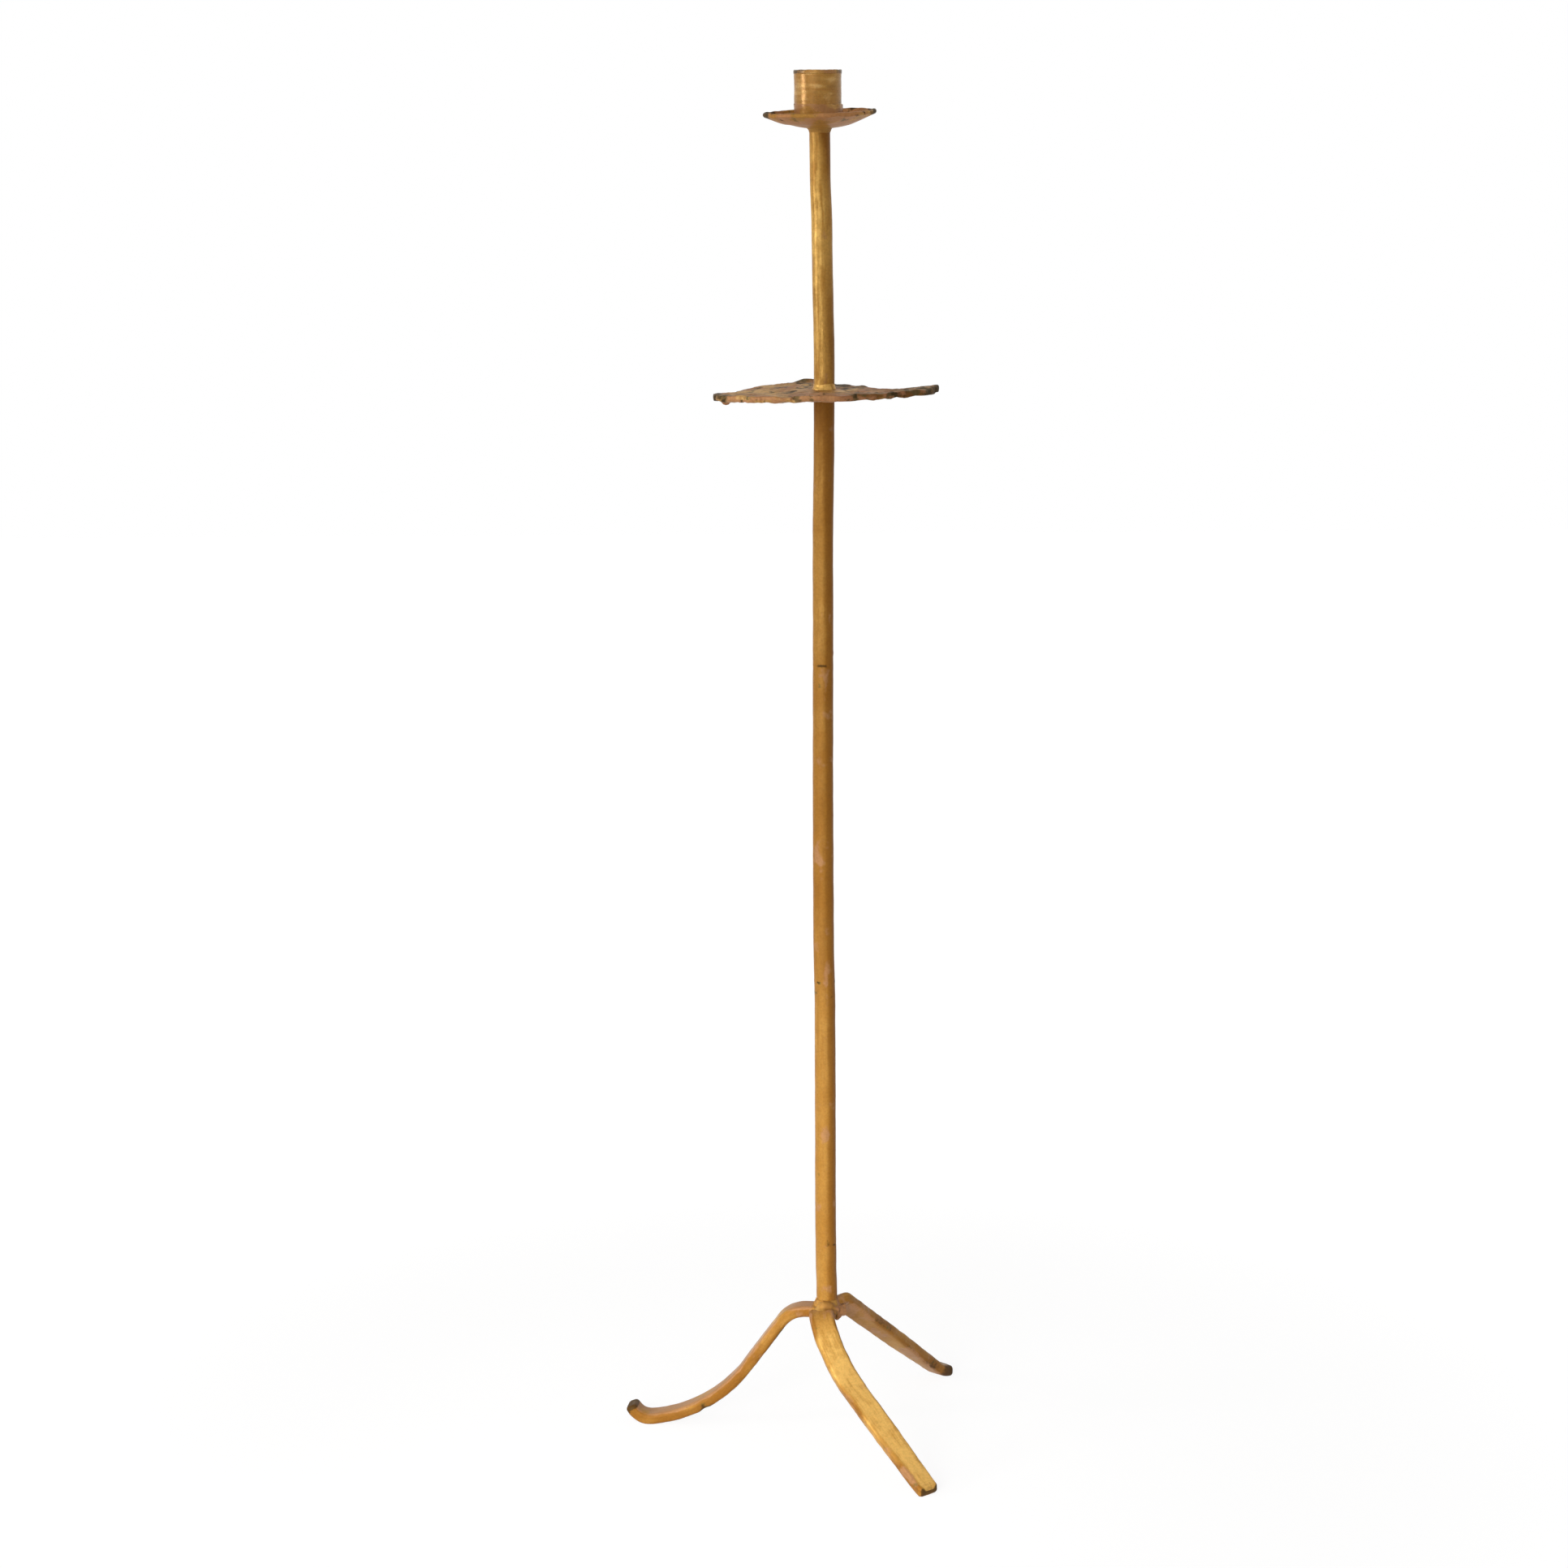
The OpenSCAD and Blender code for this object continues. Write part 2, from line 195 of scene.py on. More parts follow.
# the clouds of noise in the gilding, as scale, detail, roughness and shift
giltClouds = dict(
    broad=(26, 3, 0.6, 0),
    mottle=(130, 4, 0.62, 3.1),
    fine=(620, 2, 0.5, 7.7),
    streak=(330, 3, 0.6, 1.3),
    rose=(44, 3, 0.6, 11.2),
    olive=(90, 4, 0.65, 5.9),
)


# gold leaf over a warm ground, rubbed along the bar; a piece's marks wear, blush and glow steer it, and both
# wear and low glow also lay painted shade
def makeGilt(name, look):
    material, w = startMaterial(name)
    place = w.node("TexCoord", out="Object")
    grain = w.node("Attribute", {"attribute_name": "grain"}, out="Vector")
    wearAndShade, blush, glow = (
        w.node("Attribute", {"attribute_name": mark}, out="Fac") for mark in ("wearAndShade", "blush", "glow")
    )

    def cloud(kind, where):
        scale, detail, roughness, shift = giltClouds[kind]
        moved = w.node("VectorMath", {"operation": "ADD"}, {0: where, 1: (shift, shift * 0.6, -shift)})
        sockets = {"Vector": moved, "Scale": scale, "Detail": detail, "Roughness": roughness}
        return w.node("TexNoise", None, sockets, out="Fac")

    stretched = w.node("VectorMath", {"operation": "MULTIPLY"}, {0: grain, 1: (1, 1, 0.09)})
    mottle = cloud("mottle", place)
    fine = cloud("fine", place)
    streak = cloud("streak", stretched)

    # where each colour shows
    ground = (cloud("broad", place) * 0.55 + streak * 0.45).band(0.36, 0.62)
    bright = (streak * 0.5 + mottle * 0.5 + (glow - 0.5) * 0.5).band(0.52, 0.76)
    # orange dull patches; they spread where glow is low, so they carry painted shade as well
    dullAndShade = (mottle * 0.6 + streak * 0.4 - (glow - 0.5) * 0.4).band(0.52, 0.7)
    # umber brown where glow is low: real brown tone, and most of the painted shade on the stem's right side,
    # under the dish and on the legs' shaded faces
    umberAndShade = (0.5 - glow + (streak - 0.5) * 0.5).band(0, 0.5)
    roseFrom = 0.66 - 0.26 * look["roseShare"]
    rose = (cloud("rose", place) + blush * 0.5).band(roseFrom, roseFrom + 0.12)
    oliveFrom = 0.7 - 0.2 * look["oliveShare"]
    olive = (cloud("olive", place) + wearAndShade * 0.22).band(oliveFrom, oliveFrom + 0.09)
    bare = (wearAndShade + (mottle - 0.5) * 0.9 + (fine - 0.5) * 0.3).band(0.45, 0.85)
    specks = fine.band(0.35, 0.7)

    # each colour is laid over those above it in this list
    colour = ground.lay(rgb(look["gold"]), rgb(look["orange"]))
    for mask, share, over in (
        (bright, 0.7, "pale"),
        (dullAndShade, 0.45, "orange"),
        (umberAndShade, 0.75, "umberAndShade"),
        (rose, 0.8, "rose"),
        (olive, 0.75, "olive"),
        (bare, 0.9, "dark"),
        (specks, 0.16, "dark"),
    ):
        colour = (mask * share).lay(rgb(look[over]), colour)

    metallic = look["metallic"] * (0.6 + bright * 0.8) * (1 - bare * 0.5) * (1 - umberAndShade * 0.5)
    roughness = look["roughness"] + (mottle - 0.5) * 0.14 + bare * 0.12 + umberAndShade * 0.12
    height = mottle * 0.6 + fine * 0.25 + streak * 0.3
    normal = w.node("Bump", None, {"Strength": look["bump"], "Distance": 0.6 * mm, "Height": height})
    shader = w.node("BsdfPrincipled", None, {
        "Base Color": colour, "Metallic": metallic, "Roughness": roughness, "Normal": normal,
        "Specular IOR Level": look["gloss"], "Specular Tint": (1.0, 0.82, 0.58, 1),
    })
    w.node("OutputMaterial", None, {"Surface": shader})
    return material


steelLook = dict(
    clean=(0.34, 0.31, 0.27), rust=(0.11, 0.055, 0.025), ringScale=900.0, rustScale=400.0, bump=0.3,
)


def makeSteel(name, look):
    material, w = startMaterial(name)
    place = w.node("TexCoord", out="Object")
    turned = {"wave_type": "RINGS", "rings_direction": "Z"}
    rings = w.node("TexWave", turned, {"Vector": place, "Scale": look["ringScale"], "Distortion": 1.5})
    spots = w.node("TexNoise", None, {"Vector": place, "Scale": look["rustScale"], "Detail": 4.0}, out="Fac")
    rust = spots.band(0.5, 0.68)
    colour = (rust * 0.7).lay(rgb(look["rust"]), rgb(look["clean"]))
    height = w.node("SeparateColor", None, {"Color": rings}) * 0.3 + spots * 0.7
    normal = w.node("Bump", None, {"Strength": look["bump"], "Distance": 0.2 * mm, "Height": height})
    shader = w.node("BsdfPrincipled", None, {
        "Base Color": colour, "Metallic": 0.9 - rust * 0.7, "Roughness": 0.38 + rust * 0.3, "Normal": normal,
    })
    w.node("OutputMaterial", None, {"Surface": shader})
    return material


finish = {name: makeGilt(name + "Gilt", look) for name, look in giltLooks.items()}
finish["steel"] = makeSteel("turnedSteel", steelLook)
print("finishes made:", len(finish))


# A point of a piece is (x, y, z, across, up, along, wear, blush, glow): its place, its place in
# the bar's own section, and three marks from 0 to 1 that the finishes read. The wear mark carries
# painted shade as well as wear, and glow is lowered where shade is painted.

# smooth noise between -1 and 1, with lumps about this size
def rough(x, y, z, size, seed):
    return noise.noise(Vector((x / size + seed * 3.7, y / size - seed * 1.9, z / size + seed * 5.3)))


# a sum of such noises, from rows of amount and size in mm, and seed
def bumps(x, y, z, rows):
    return sum(amount * mm * rough(x, y, z, size * mm, seed) for amount, size, seed in rows)


# 0 at low, 1 at high, smooth between; low may be the larger
def ease(value, low, high):
    share = min(1, max(0, (value - low) / (high - low)))
    return share * share * (3 - 2 * share)


# value of a table of (place, value) pairs, with smooth steps between them
def readTable(table, place):
    if place <= table[0][0]:
        return table[0][1]
    for (a, first), (b, second) in zip(table, table[1:]):
        if place <= b:
            return first + (second - first) * ease(place, a, b)
    return table[-1][1]


# the same for a table that runs round from 0 to 360 degrees
def readRound(table, degrees):
    around = [(table[-1][0] - 360, table[-1][1])] + list(table) + [(table[0][0] + 360, table[0][1])]
    return readTable(around, degrees % 360)


def middleOf(row):
    return tuple(sum(column) / len(row) for column in zip(*row))


# faces between rows of points; a row of one point closes an end
def skin(rows, loop=False):
    points, starts, faces = [], [], []
    for row in rows:
        starts.append(len(points))
        points += row
    for i in range(len(rows) if loop else len(rows) - 1):
        j = (i + 1) % len(rows)
        a, b, n = starts[i], starts[j], max(len(rows[i]), len(rows[j]))
        for k in range(n):
            m = (k + 1) % n
            if len(rows[i]) == 1:
                faces.append((a, b + k, b + m))
            elif len(rows[j]) == 1:
                faces.append((a + m, a + k, b))
            else:
                faces.append((a + m, a + k, b + k, b + m))
    return points, faces


# a piece from a shell of points and faces, in place of these nodes
def makePiece(name, shell, look, slotName, *nodes):
    points, faces = shell
    mesh = bpy.data.meshes.new(name)
    mesh.from_pydata([p[:3] for p in points], [], faces)
    grain = mesh.attributes.new("grain", "FLOAT_VECTOR", "POINT")
    grain.data.foreach_set("vector", [value for p in points for value in p[3:6]])
    for mark, column in (("wearAndShade", 6), ("blush", 7), ("glow", 8)):
        layer = mesh.attributes.new(mark, "FLOAT", "POINT")
        layer.data.foreach_set("value", [min(1, max(0, p[column])) for p in points])
    work = bmesh.new()
    work.from_mesh(mesh)
    bmesh.ops.recalc_face_normals(work, faces=work.faces)
    work.to_mesh(mesh)
    work.free()
    mesh.shade_smooth()
    piece = addObject(name, mesh)
    piece.data.materials.append(finish[look])
    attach(piece, "root")
    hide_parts(*nodes)
    print("made", name, "with", len(points), "points")
    return piece


# the piece's mesh with its modifiers worked in
def applyShape(piece):
    bpy.context.view_layer.update()
    worked = piece.evaluated_get(bpy.context.evaluated_depsgraph_get())
    shaped = bpy.data.meshes.new_from_object(worked)
    piece.modifiers.clear()
    piece.data = shaped


# corners are (radius, height, rounding); long sides are cut into steps
def profileOf(corners, step, closed):
    count = len(corners)
    line = []
    for i, (r, z, fillet) in enumerate(corners):
        here = Vector((r, z))
        if fillet == 0 or (not closed and i in (0, count - 1)):
            line.append(here)
            continue
        before, after = (Vector(corners[(i + d) % count][:2]) - here for d in (-1, 1))
        first = here + before.normalized() * min(fillet, before.length * 0.49)
        last = here + after.normalized() * min(fillet, after.length * 0.49)
        for k in range(5):
            t = k / 4
            line.append(first * (1 - t) ** 2 + here * 2 * t * (1 - t) + last * t * t)
    sides = list(zip(line, line[1:] + line[:1] if closed else line[1:]))
    cut = []
    for a, b in sides:
        cuts = max(1, round((b - a).length / step))
        cut += [a.lerp(b, k / cuts) for k in range(cuts)]
    return cut if closed else cut + [line[-1]]


# turns a profile round the stem; shape gives each point from its radius, height and angle
def revolve(profile, segments, shape, closed):
    rows = []
    for r, z in profile:
        turns = [0] if r < 1e-7 else [2 * pi * k / segments for k in range(segments)]
        rows.append([shape(r, z, angle) for angle in turns])
    return skin(rows, loop=closed)


stemBar = dict(
    radius=8 * mm, studRadius=4.05 * mm, studDepth=19 * mm,
    screwRadius=3.05 * mm, screwDepth=15 * mm,
    # on this next line, the side angle is where the painted shade down the stem's right side is deepest
    segments=44, step=3 * mm, shadedSide=radians(-8),
    skinFrom=6 * mm,  # nearer the axis than this lie the bores, which stay true
    dent=0.17 * mm, swell=0.4 * mm,
    # how far the hand-straightened bar stands aside against height, in mm
    lean=(
        (97.5, 0.8), (125, 0.7), (139, 0.3), (173, 0), (356, 0.2), (415, -0.7), (514, -0.7), (708, -0.1),
        (835, 1.3), (866, 1.5), (965, 0.2), (1013.5, -1.05), (1045, -1.3),
    ),
    # forge seams that show as faint bands: height, proud, width
    seams=(
        (0.643, 0.36 * mm, 3 * mm), (0.632, 0.24 * mm, 2.6 * mm), (0.378, 0.28 * mm, 2.8 * mm),
        (0.367, 0.2 * mm, 2.4 * mm), (0.16, -0.22 * mm, 3 * mm),
    ),
    # how golden the bar is against height; the dip to -0.3 just below the dish is painted shade under the
    # dish
    glow=(
        (0.1, 0.3), (0.133, 0.33), (0.24, 0.31), (0.35, 0.25), (0.44, 0.12), (0.55, 0.2), (0.705, 0.3),
        (0.8, 0.2), (0.825, 0), (0.842, -0.3), (0.852, 0.75), (0.9, 0.75), (0.985, 0.85), (1.03, 0.6),
        (1.045, 0.4),
    ),
    # how far round the painted shade on the stem's right side reaches, as a cosine, against height
    shadeReach=(
        (0.1, 0), (0.2, 0.15), (0.3, 0.25), (0.45, 0.3), (0.7, 0.1), (0.84, -0.2), (0.85, -0.45),
        (1.04, -0.45),
    ),
)


# how far the bar stands aside at this height
def stemLean(z):
    return readTable(stemBar["lean"], z / mm) * mm


def stemPoint(bar, r, z, angle):
    x, y = r * cos(angle), r * sin(angle)
    proud, wearAndShade = 0, 0
    if r > bar["skinFrom"]:
        proud = bar["dent"] * (rough(x, y, z * 0.45, 9 * mm, 1) + 0.45 * rough(x, y, z, 4.5 * mm, 2))
        proud += bar["swell"] * ease(dishTopZ - z, 0.1, 0.7)
        for height, out, width in bar["seams"]:
            near = max(0, 1 - abs(z - height + 1.2 * mm * sin(angle + height * 90)) / width)
            proud += out * near * near * (0.6 + 0.7 * rough(x, y, z, 6 * mm, 3))
            wearAndShade += 1.1 * near * (0.55 + rough(x, y, z, 5 * mm, 4))
        wearAndShade += 0.5 * max(0, rough(x * 2.2, y * 2.2, z * 0.3, 14 * mm, 6) - 0.15)
    scale = 1 + proud / max(r, mm)
    # painted shade down the stem's right side, turned from the lamps; it lowers glow and so lays the umber
    # brown
    sideShade = ease(cos(angle - bar["shadedSide"]), readTable(bar["shadeReach"], z), 0.97)
    glow = readTable(bar["glow"], z) - (0.55 + 0.3 * rough(x, y, z * 0.2, 16 * mm, 8)) * sideShade
    wearAndShade += 0.25 * ease(z, 0.815, 0.842) * ease(dishTopZ - z, -mm, 0)  # painted shade just below the dish, where the dish's shadow falls
    blush = 0.5 * max(0, rough(x * 2, y * 2, z * 0.5, 13 * mm, 7) - 0.1)
    blush += 0.9 * ease(z, 0.128, 0.104) * (0.5 + 0.5 * sin(angle - 0.4))  # rosy behind, above the legs' weld
    return (
        stemX + x * scale + stemLean(z), stemY + y * scale, z,
        x, y, z, wearAndShade, blush, glow,
    )


def makeStem(bar):
    stud, screw = bar["studRadius"], bar["screwRadius"]
    low = profileOf((
        (0, footZ, 0), (bar["radius"], footZ, 0.8 * mm), (bar["radius"], dishZ, 0.5 * mm),
        (stud, dishZ, 0), (stud, dishZ - bar["studDepth"], 0), (0, dishZ - bar["studDepth"], 0),
    ), bar["step"], False)
    high = profileOf((
        (0, dishTopZ + bar["studDepth"], 0), (stud, dishTopZ + bar["studDepth"], 0), (stud, dishTopZ, 0),
        (bar["radius"], dishTopZ, 0.5 * mm), (bar["radius"], panZ, 0.5 * mm),
        (screw, panZ, 0), (screw, panZ - bar["screwDepth"], 0), (0, panZ - bar["screwDepth"], 0),
    ), bar["step"], False)
    for name, profile, node in (("lowerStem", low, "stem_lower"), ("upperStem", high, "stem_upper")):
        shell = revolve(profile, bar["segments"], lambda r, z, a: stemPoint(bar, r, z, a), False)
        makePiece(name, shell, "bar", "gilt_iron", node)


makeStem(stemBar)


# Legs, in millimetres and degrees as in the frame's source. The three tables of shares, for dull wear with
# painted shade, for rosy tint, and for painted shade alone, are each for a bar's top, its underside, its far
# side and its near side.
legBars = dict(
    hub=102, thick=9, tipBend=16, footWear=0.3, coped=7.7,
    step=1.7, rounding=2.9, crown=0.35, dent=0.3, sootyEnd=0.85, bareEnd=0.95,
    left=dict(
        node="leg_left", rise=0, angle=173, shift=1.5, turn=0, run=16.1, shoulder=24, slope=54, sweep=116,
        footSlope=9, foot=2, curl=72, tipRound=2.6, dark=9, darkFrom=-9, seed=11, mitres=(61.5, 46.25),
        width=((0, 17.9), (200, 17.4)), twist=((0, 0), (200, 0)),
        nick=dict(at=122, reach=4.5, depth=1.1),
        glow=((0, 0.3), (25, 0.7), (60, 0.4), (90, 0.3), (120, 0.36), (160, 0.5), (190, 0.3)),
        dullAndShade=(0, 0.7, 0, 0), rosy=(0.75, 0.1, 0, 0), paintedShade=(0, 0.6, 0.55, 0.35),
    ),
    front=dict(
        node="leg_front", rise=0, angle=305.5, shift=-18, turn=40, root=9.5, sideBend=30, run=9,
        shoulder=14, slope=50.5, sweep=104, footSlope=29, foot=102, curl=1, tipRound=3.6,
        dark=0, darkFrom=-5.9, seed=23, mitres=(46.25, 72.25),
        width=((0, 20.4), (60, 19.4), (190, 17.6)), twist=((0, 8), (25, 25), (110, 19), (196, 2)),
        nick=None,
        glow=((0, 0.22), (12, 0.32), (26, 0.75), (60, 0.95), (200, 0.9)),
        dullAndShade=(0, 0.4, 0.6, 0.34), rosy=(0, 0.1, 0, 0.4), paintedShade=(0, 0.5, 0.8, 1.1),
    ),
    right=dict(
        node="leg_right", rise=3, angle=50, shift=-1.5, turn=0, run=16.4, shoulder=5, slope=37.2, sweep=30,
        footSlope=12, foot=1, curl=1, tipRound=2.4, dark=21, darkFrom=-9, seed=37, mitres=(72.25, 61.5),
        width=((0, 17.6), (190, 17.2)), twist=((0, -30), (16, -31), (60, -24), (178, 2)),
        nick=None,
        glow=((0, 0.35), (30, 0.35), (80, 0.4), (200, 0.3)),
        dullAndShade=(0, 0, 0.45, 0.46), rosy=(0.2, 0.34, 0, 0.15), paintedShade=(0, 0.12, 0.3, 0.28),
    ),
)


# the bar's middle line as (distance from the stem's axis, height)
def legLine(bars, leg):
    slope, footSlope, curl = radians(leg["slope"]), radians(leg["footSlope"]), radians(leg["curl"])
    shoulder, sweep, tip = leg["shoulder"], leg["sweep"], bars["tipBend"]
    hub = bars["hub"] + leg["rise"]
    fall = (
        hub - bars["thick"] / 2 + bars["footWear"] - shoulder * (1 - cos(slope))
        - sweep * (cos(footSlope) - cos(slope)) - leg["foot"] * sin(footSlope) - tip * (1 - cos(footSlope))
    )
    line = [(leg["run"], hub)]

    def straight(length, angle):
        cuts = max(1, round(length / bars["step"]))
        r, z = line[-1]
        for k in range(1, cuts + 1):
            d = length * k / cuts
            line.append((r + d * cos(angle), z - d * sin(angle)))

    # a bend from one slope to the next, down or up
    def bend(radius, first, last):
        cuts = max(3, round(radius * abs(last - first) / bars["step"]))
        r, z = line[-1]
        way = 1 if last > first else -1
        for k in range(1, cuts + 1):
            a = first + (last - first) * k / cuts
            line.append((r + way * radius * (sin(a) - sin(first)), z - way * radius * (cos(first) - cos(a))))

    bend(shoulder, 0, slope)
    straight(fall / sin(slope), slope)
    bend(sweep, slope, footSlope)
    straight(leg["foot"], footSlope)
    bend(tip, footSlope, -curl)
    return line


# sideways place of the bar's middle line at this distance out
def sideways(leg, r):
    if leg["turn"] == 0:
        return leg["shift"]
    turn, bend = radians(leg["turn"]), leg["sideBend"]
    if r < leg["root"]:
        return leg["shift"] + bend * (1 - cos(turn)) + (leg["root"] - r) * tan(turn)
    gap = leg["root"] + bend * sin(turn) - r
    angle = asin(min(1, max(0, gap / bend)))
    return leg["shift"] + bend * (1 - cos(angle))


# rounded flat-bar section, as (across, up) pairs
def barSection(bars, width):
    wide, high, r = width / 2, bars["thick"] / 2, bars["rounding"]
    centres = ((wide - r, high - r), (r - wide, high - r), (r - wide, r - high), (wide - r, r - high))
    arcs = []
    for quarter, (x, y) in enumerate(centres):
        turns = [radians(90 * quarter + 18 * k) for k in range(6)]
        arcs.append([(x + r * cos(a), y + r * sin(a)) for a in turns])
    section = []
    for i, arc in enumerate(arcs):
        (x, y), (nextX, nextY) = arc[-1], arcs[(i + 1) % 4][0]
        cuts = max(2, round(hypot(nextX - x, nextY - y) / 1.5))
        section += arc + [(x + (nextX - x) * k / cuts, y + (nextY - y) * k / cuts) for k in range(1, cuts)]
    return section


def outAndSide(degrees):
    turn = radians(degrees)
    return Vector((cos(turn), sin(turn), 0)), Vector((-sin(turn), cos(turn), 0))


# wear with painted shade, blush and glow at the section's point (u, v), this far along the leg
def legMarks(leg, u, v, along, dark):
    half = leg["width"][0][1] / 2
    seed = leg["seed"]
    edge = ease(abs(u), half - 1.8, half) * ease(abs(v), 2.2, 4.4)
    faces = (ease(v, 2, 4.2), ease(-v, 2, 4.2), ease(u, half - 2.4, half), ease(-u, half - 4.5, half - 1.2))
    patchy = 0.7 + 0.7 * rough(u, v, along * 0.5, 10, seed + 9)

    def onFaces(shares):
        return patchy * sum(face * share for face, share in zip(faces, shares))

    wearAndShade = 0.42 * edge * (0.6 + rough(u, v, along, 11, seed + 5)) + dark
    wearAndShade += 0.5 * max(0, rough(u * 2, v * 2, along * 0.4, 12, seed + 6) - 0.2)
    if leg["nick"] and v < 0:
        wearAndShade += 0.9 * max(0, 1 - abs(along - leg["nick"]["at"]) / leg["nick"]["reach"])
    # rubbed patches on some faces, together with painted shade on faces turned from the light
    wearAndShade += onFaces(leg["dullAndShade"])
    if dark > 0.5:
        wearAndShade *= ease(-v, leg["darkFrom"], leg["darkFrom"] + 2.5)
    blush = ease(along, 18, 2) * (0.25 + 0.6 * rough(u, v, along, 7, seed + 7))  # heated by the weld
    blush += 0.4 * max(0, rough(u, v, along, 25, seed + 8)) + onFaces(leg["rosy"])
    # painted shade on the faces turned from the light, and on the near rounding to dim its highlight
    glow = readTable(leg["glow"], along) - onFaces(leg["paintedShade"])
    return wearAndShade, blush, glow


# one ring of points round the bar; inset draws it in, and still keeps dents off the end
def legRing(bars, leg, section, centre, ahead, along, inset=0, still=0, dark=0):
    broad = leg["width"][0][1]
    seed = leg["seed"]
    across = Vector((0, 0, 1)).cross(ahead).normalized()
    up = ahead.cross(across)
    twist = radians(readTable(leg["twist"], along))
    across, up = across * cos(twist) + up * sin(twist), up * cos(twist) - across * sin(twist)
    wide = readTable(leg["width"], along) / broad
    wide *= 1 + 0.03 * rough(along, 3, 1, 21, seed) + 0.012 * rough(along, 7, 1, 7, seed)
    wide *= 1 - inset / (broad / 2)
    high = (1 + 0.05 * rough(along, 5, 2, 18, seed)) * (1 - inset / (bars["thick"] / 2))
    ring = []
    for u, v in section:
        crown = bars["crown"] * (1 - (u / broad * 2) ** 2) * (1 if v > 0 else -0.6)
        away = Vector((u / broad * 1.2, v / bars["thick"])).normalized()
        dent = bars["dent"] * (rough(u, v, along, 9, seed) + 0.5 * rough(u, v, along, 4, seed + 1))
        dent *= 1 - still
        if leg["nick"] and v < 0:
            close = (along - leg["nick"]["at"]) / leg["nick"]["reach"]
            dent -= leg["nick"]["depth"] * max(0, 1 - close * close)
        point = centre + across * (u * wide + away.x * dent) + up * ((v + crown) * high + away.y * dent)
        point *= mm
        ring.append((
            stemX + point.x, stemY + point.y, max(point.z, 0), u * mm, v * mm, along * mm,
            *legMarks(leg, u, v, along, dark),
        ))
    return ring


# the root's rings, coped round the stem and mitred against the neighbours
def legRoot(bars, leg, section, centre):
    out, side = outAndSide(leg["angle"] - leg["turn"])
    rings = []
    for share in (0, 0.35, 0.7):
        ring = []
        for p in legRing(bars, leg, section, centre, out, 0):
            spot = Vector((p[0] - stemX, p[1] - stemY, 0)) / mm
            off, gone = spot.dot(side), spot.dot(out)
            mitre = radians(leg["mitres"][1 if off > 0 else 0])
            stop = max(abs(off) / tan(mitre), sqrt(max(0, bars["coped"] ** 2 - off ** 2)))
            back = out * (gone - stop) * (1 - share) * mm
            ring.append((p[0] - back.x, p[1] - back.y, *p[2:]))
        rings.append(ring)
    return rings


# the rounded end: rings that draw in towards the end face, which is left bare
def legTip(bars, leg, section, centre, ahead, along, dark):
    rings = []
    for k in range(6):
        a = k / 5 * pi / 2
        back = ahead * leg["tipRound"] * (1 - sin(a))
        inset = leg["tipRound"] * (1 - cos(a)) * 0.9
        bare = max(dark, bars["bareEnd"] * ease(a, 0.5, 1.4))
        rings.append(legRing(bars, leg, section, centre - back, ahead, along, inset, 0.6, bare))
    for inset in (2.2, 3.2, 4.0):
        if inset > leg["tipRound"]:
            rings.append(legRing(bars, leg, section, centre, ahead, along, inset, 0.8, bars["bareEnd"]))
    return rings


def makeLeg(name, bars, leg):
    out, side = outAndSide(leg["angle"])
    section = barSection(bars, leg["width"][0][1])
    line = legLine(bars, leg)
    centres = [out * r + side * sideways(leg, r) + Vector((0, 0, z)) for r, z in line]
    lengths = [0]
    for (r, z), (nextR, nextZ) in zip(line, line[1:]):
        lengths.append(lengths[-1] + hypot(nextR - r, nextZ - z))
    rings = legRoot(bars, leg, section, centres[0])
    last = len(line) - 1
    for i, centre in enumerate(centres):
        left = lengths[last] - lengths[i]
        ahead = (centres[min(i + 1, last)] - centres[max(i - 1, 0)]).normalized()
        dark = bars["sootyEnd"] * ease(leg["dark"] - left, 0, leg["dark"]) if leg["dark"] else 0
        if i == last:
            rings += legTip(bars, leg, section, centre, ahead, lengths[i], dark)
        elif left >= leg["tipRound"]:
            rings.append(legRing(bars, leg, section, centre, ahead, lengths[i], dark=dark))
    shell = skin([[middleOf(rings[0])]] + rings + [[middleOf(rings[-1])]])
    makePiece(name, shell, "bar", "gilt_iron", leg["node"])


for side in ("left", "front", "right"):
    makeLeg(side + "Leg", legBars, legBars[side])


dishPlate = dict(
    radius=86.5 * mm, hole=4.05 * mm, thick=4 * mm, edgeThick=4.6 * mm, edgeRound=0.8 * mm,
    segments=260, rings=34, tilt=radians(1.75), sideways=2 * mm,
    # how far the torn edge stands up or down in mm, against the angle round the stem in degrees
    lift=(
        (0, -0.5), (25, -2.4), (42, -5), (60, -6.5), (70, -2.4), (80, -0.6), (96, 1.8), (117, -0.8),
        (143, -3.5), (165, -2.3), (182, -1.1), (200, 0.6), (226, 1.3), (245, 2.2), (265, 1.8), (287, 1.6),
        (300, 0.9), (309, 1.6), (323, 0.5), (340, -0.8),
    ),
    # noises as amount and size in mm, and seed: the edge in plan, the beaten waves and the skin
    torn=((1.5, 8, 41), (0.8, 3.5, 42)),
    beaten=((1, 26, 43), (0.8, 11, 44)),
    skin=((0.45, 5, 46), (0.3, 2.6, 47)),
    wave=2.6 * mm, sag=3.2 * mm, dip=3 * mm, dipPlace=(52 * mm, 10 * mm), dipSize=(30 * mm, 45 * mm),
    # lumps that hang below the edge: angle in degrees, then distance out, radius and drop in mm
    drips=((190, 77, 4, 3.2), (306, 82, 3, 1.3), (294, 83, 3.4, 0.7), (347, 82, 5.5, 1.7)),
)


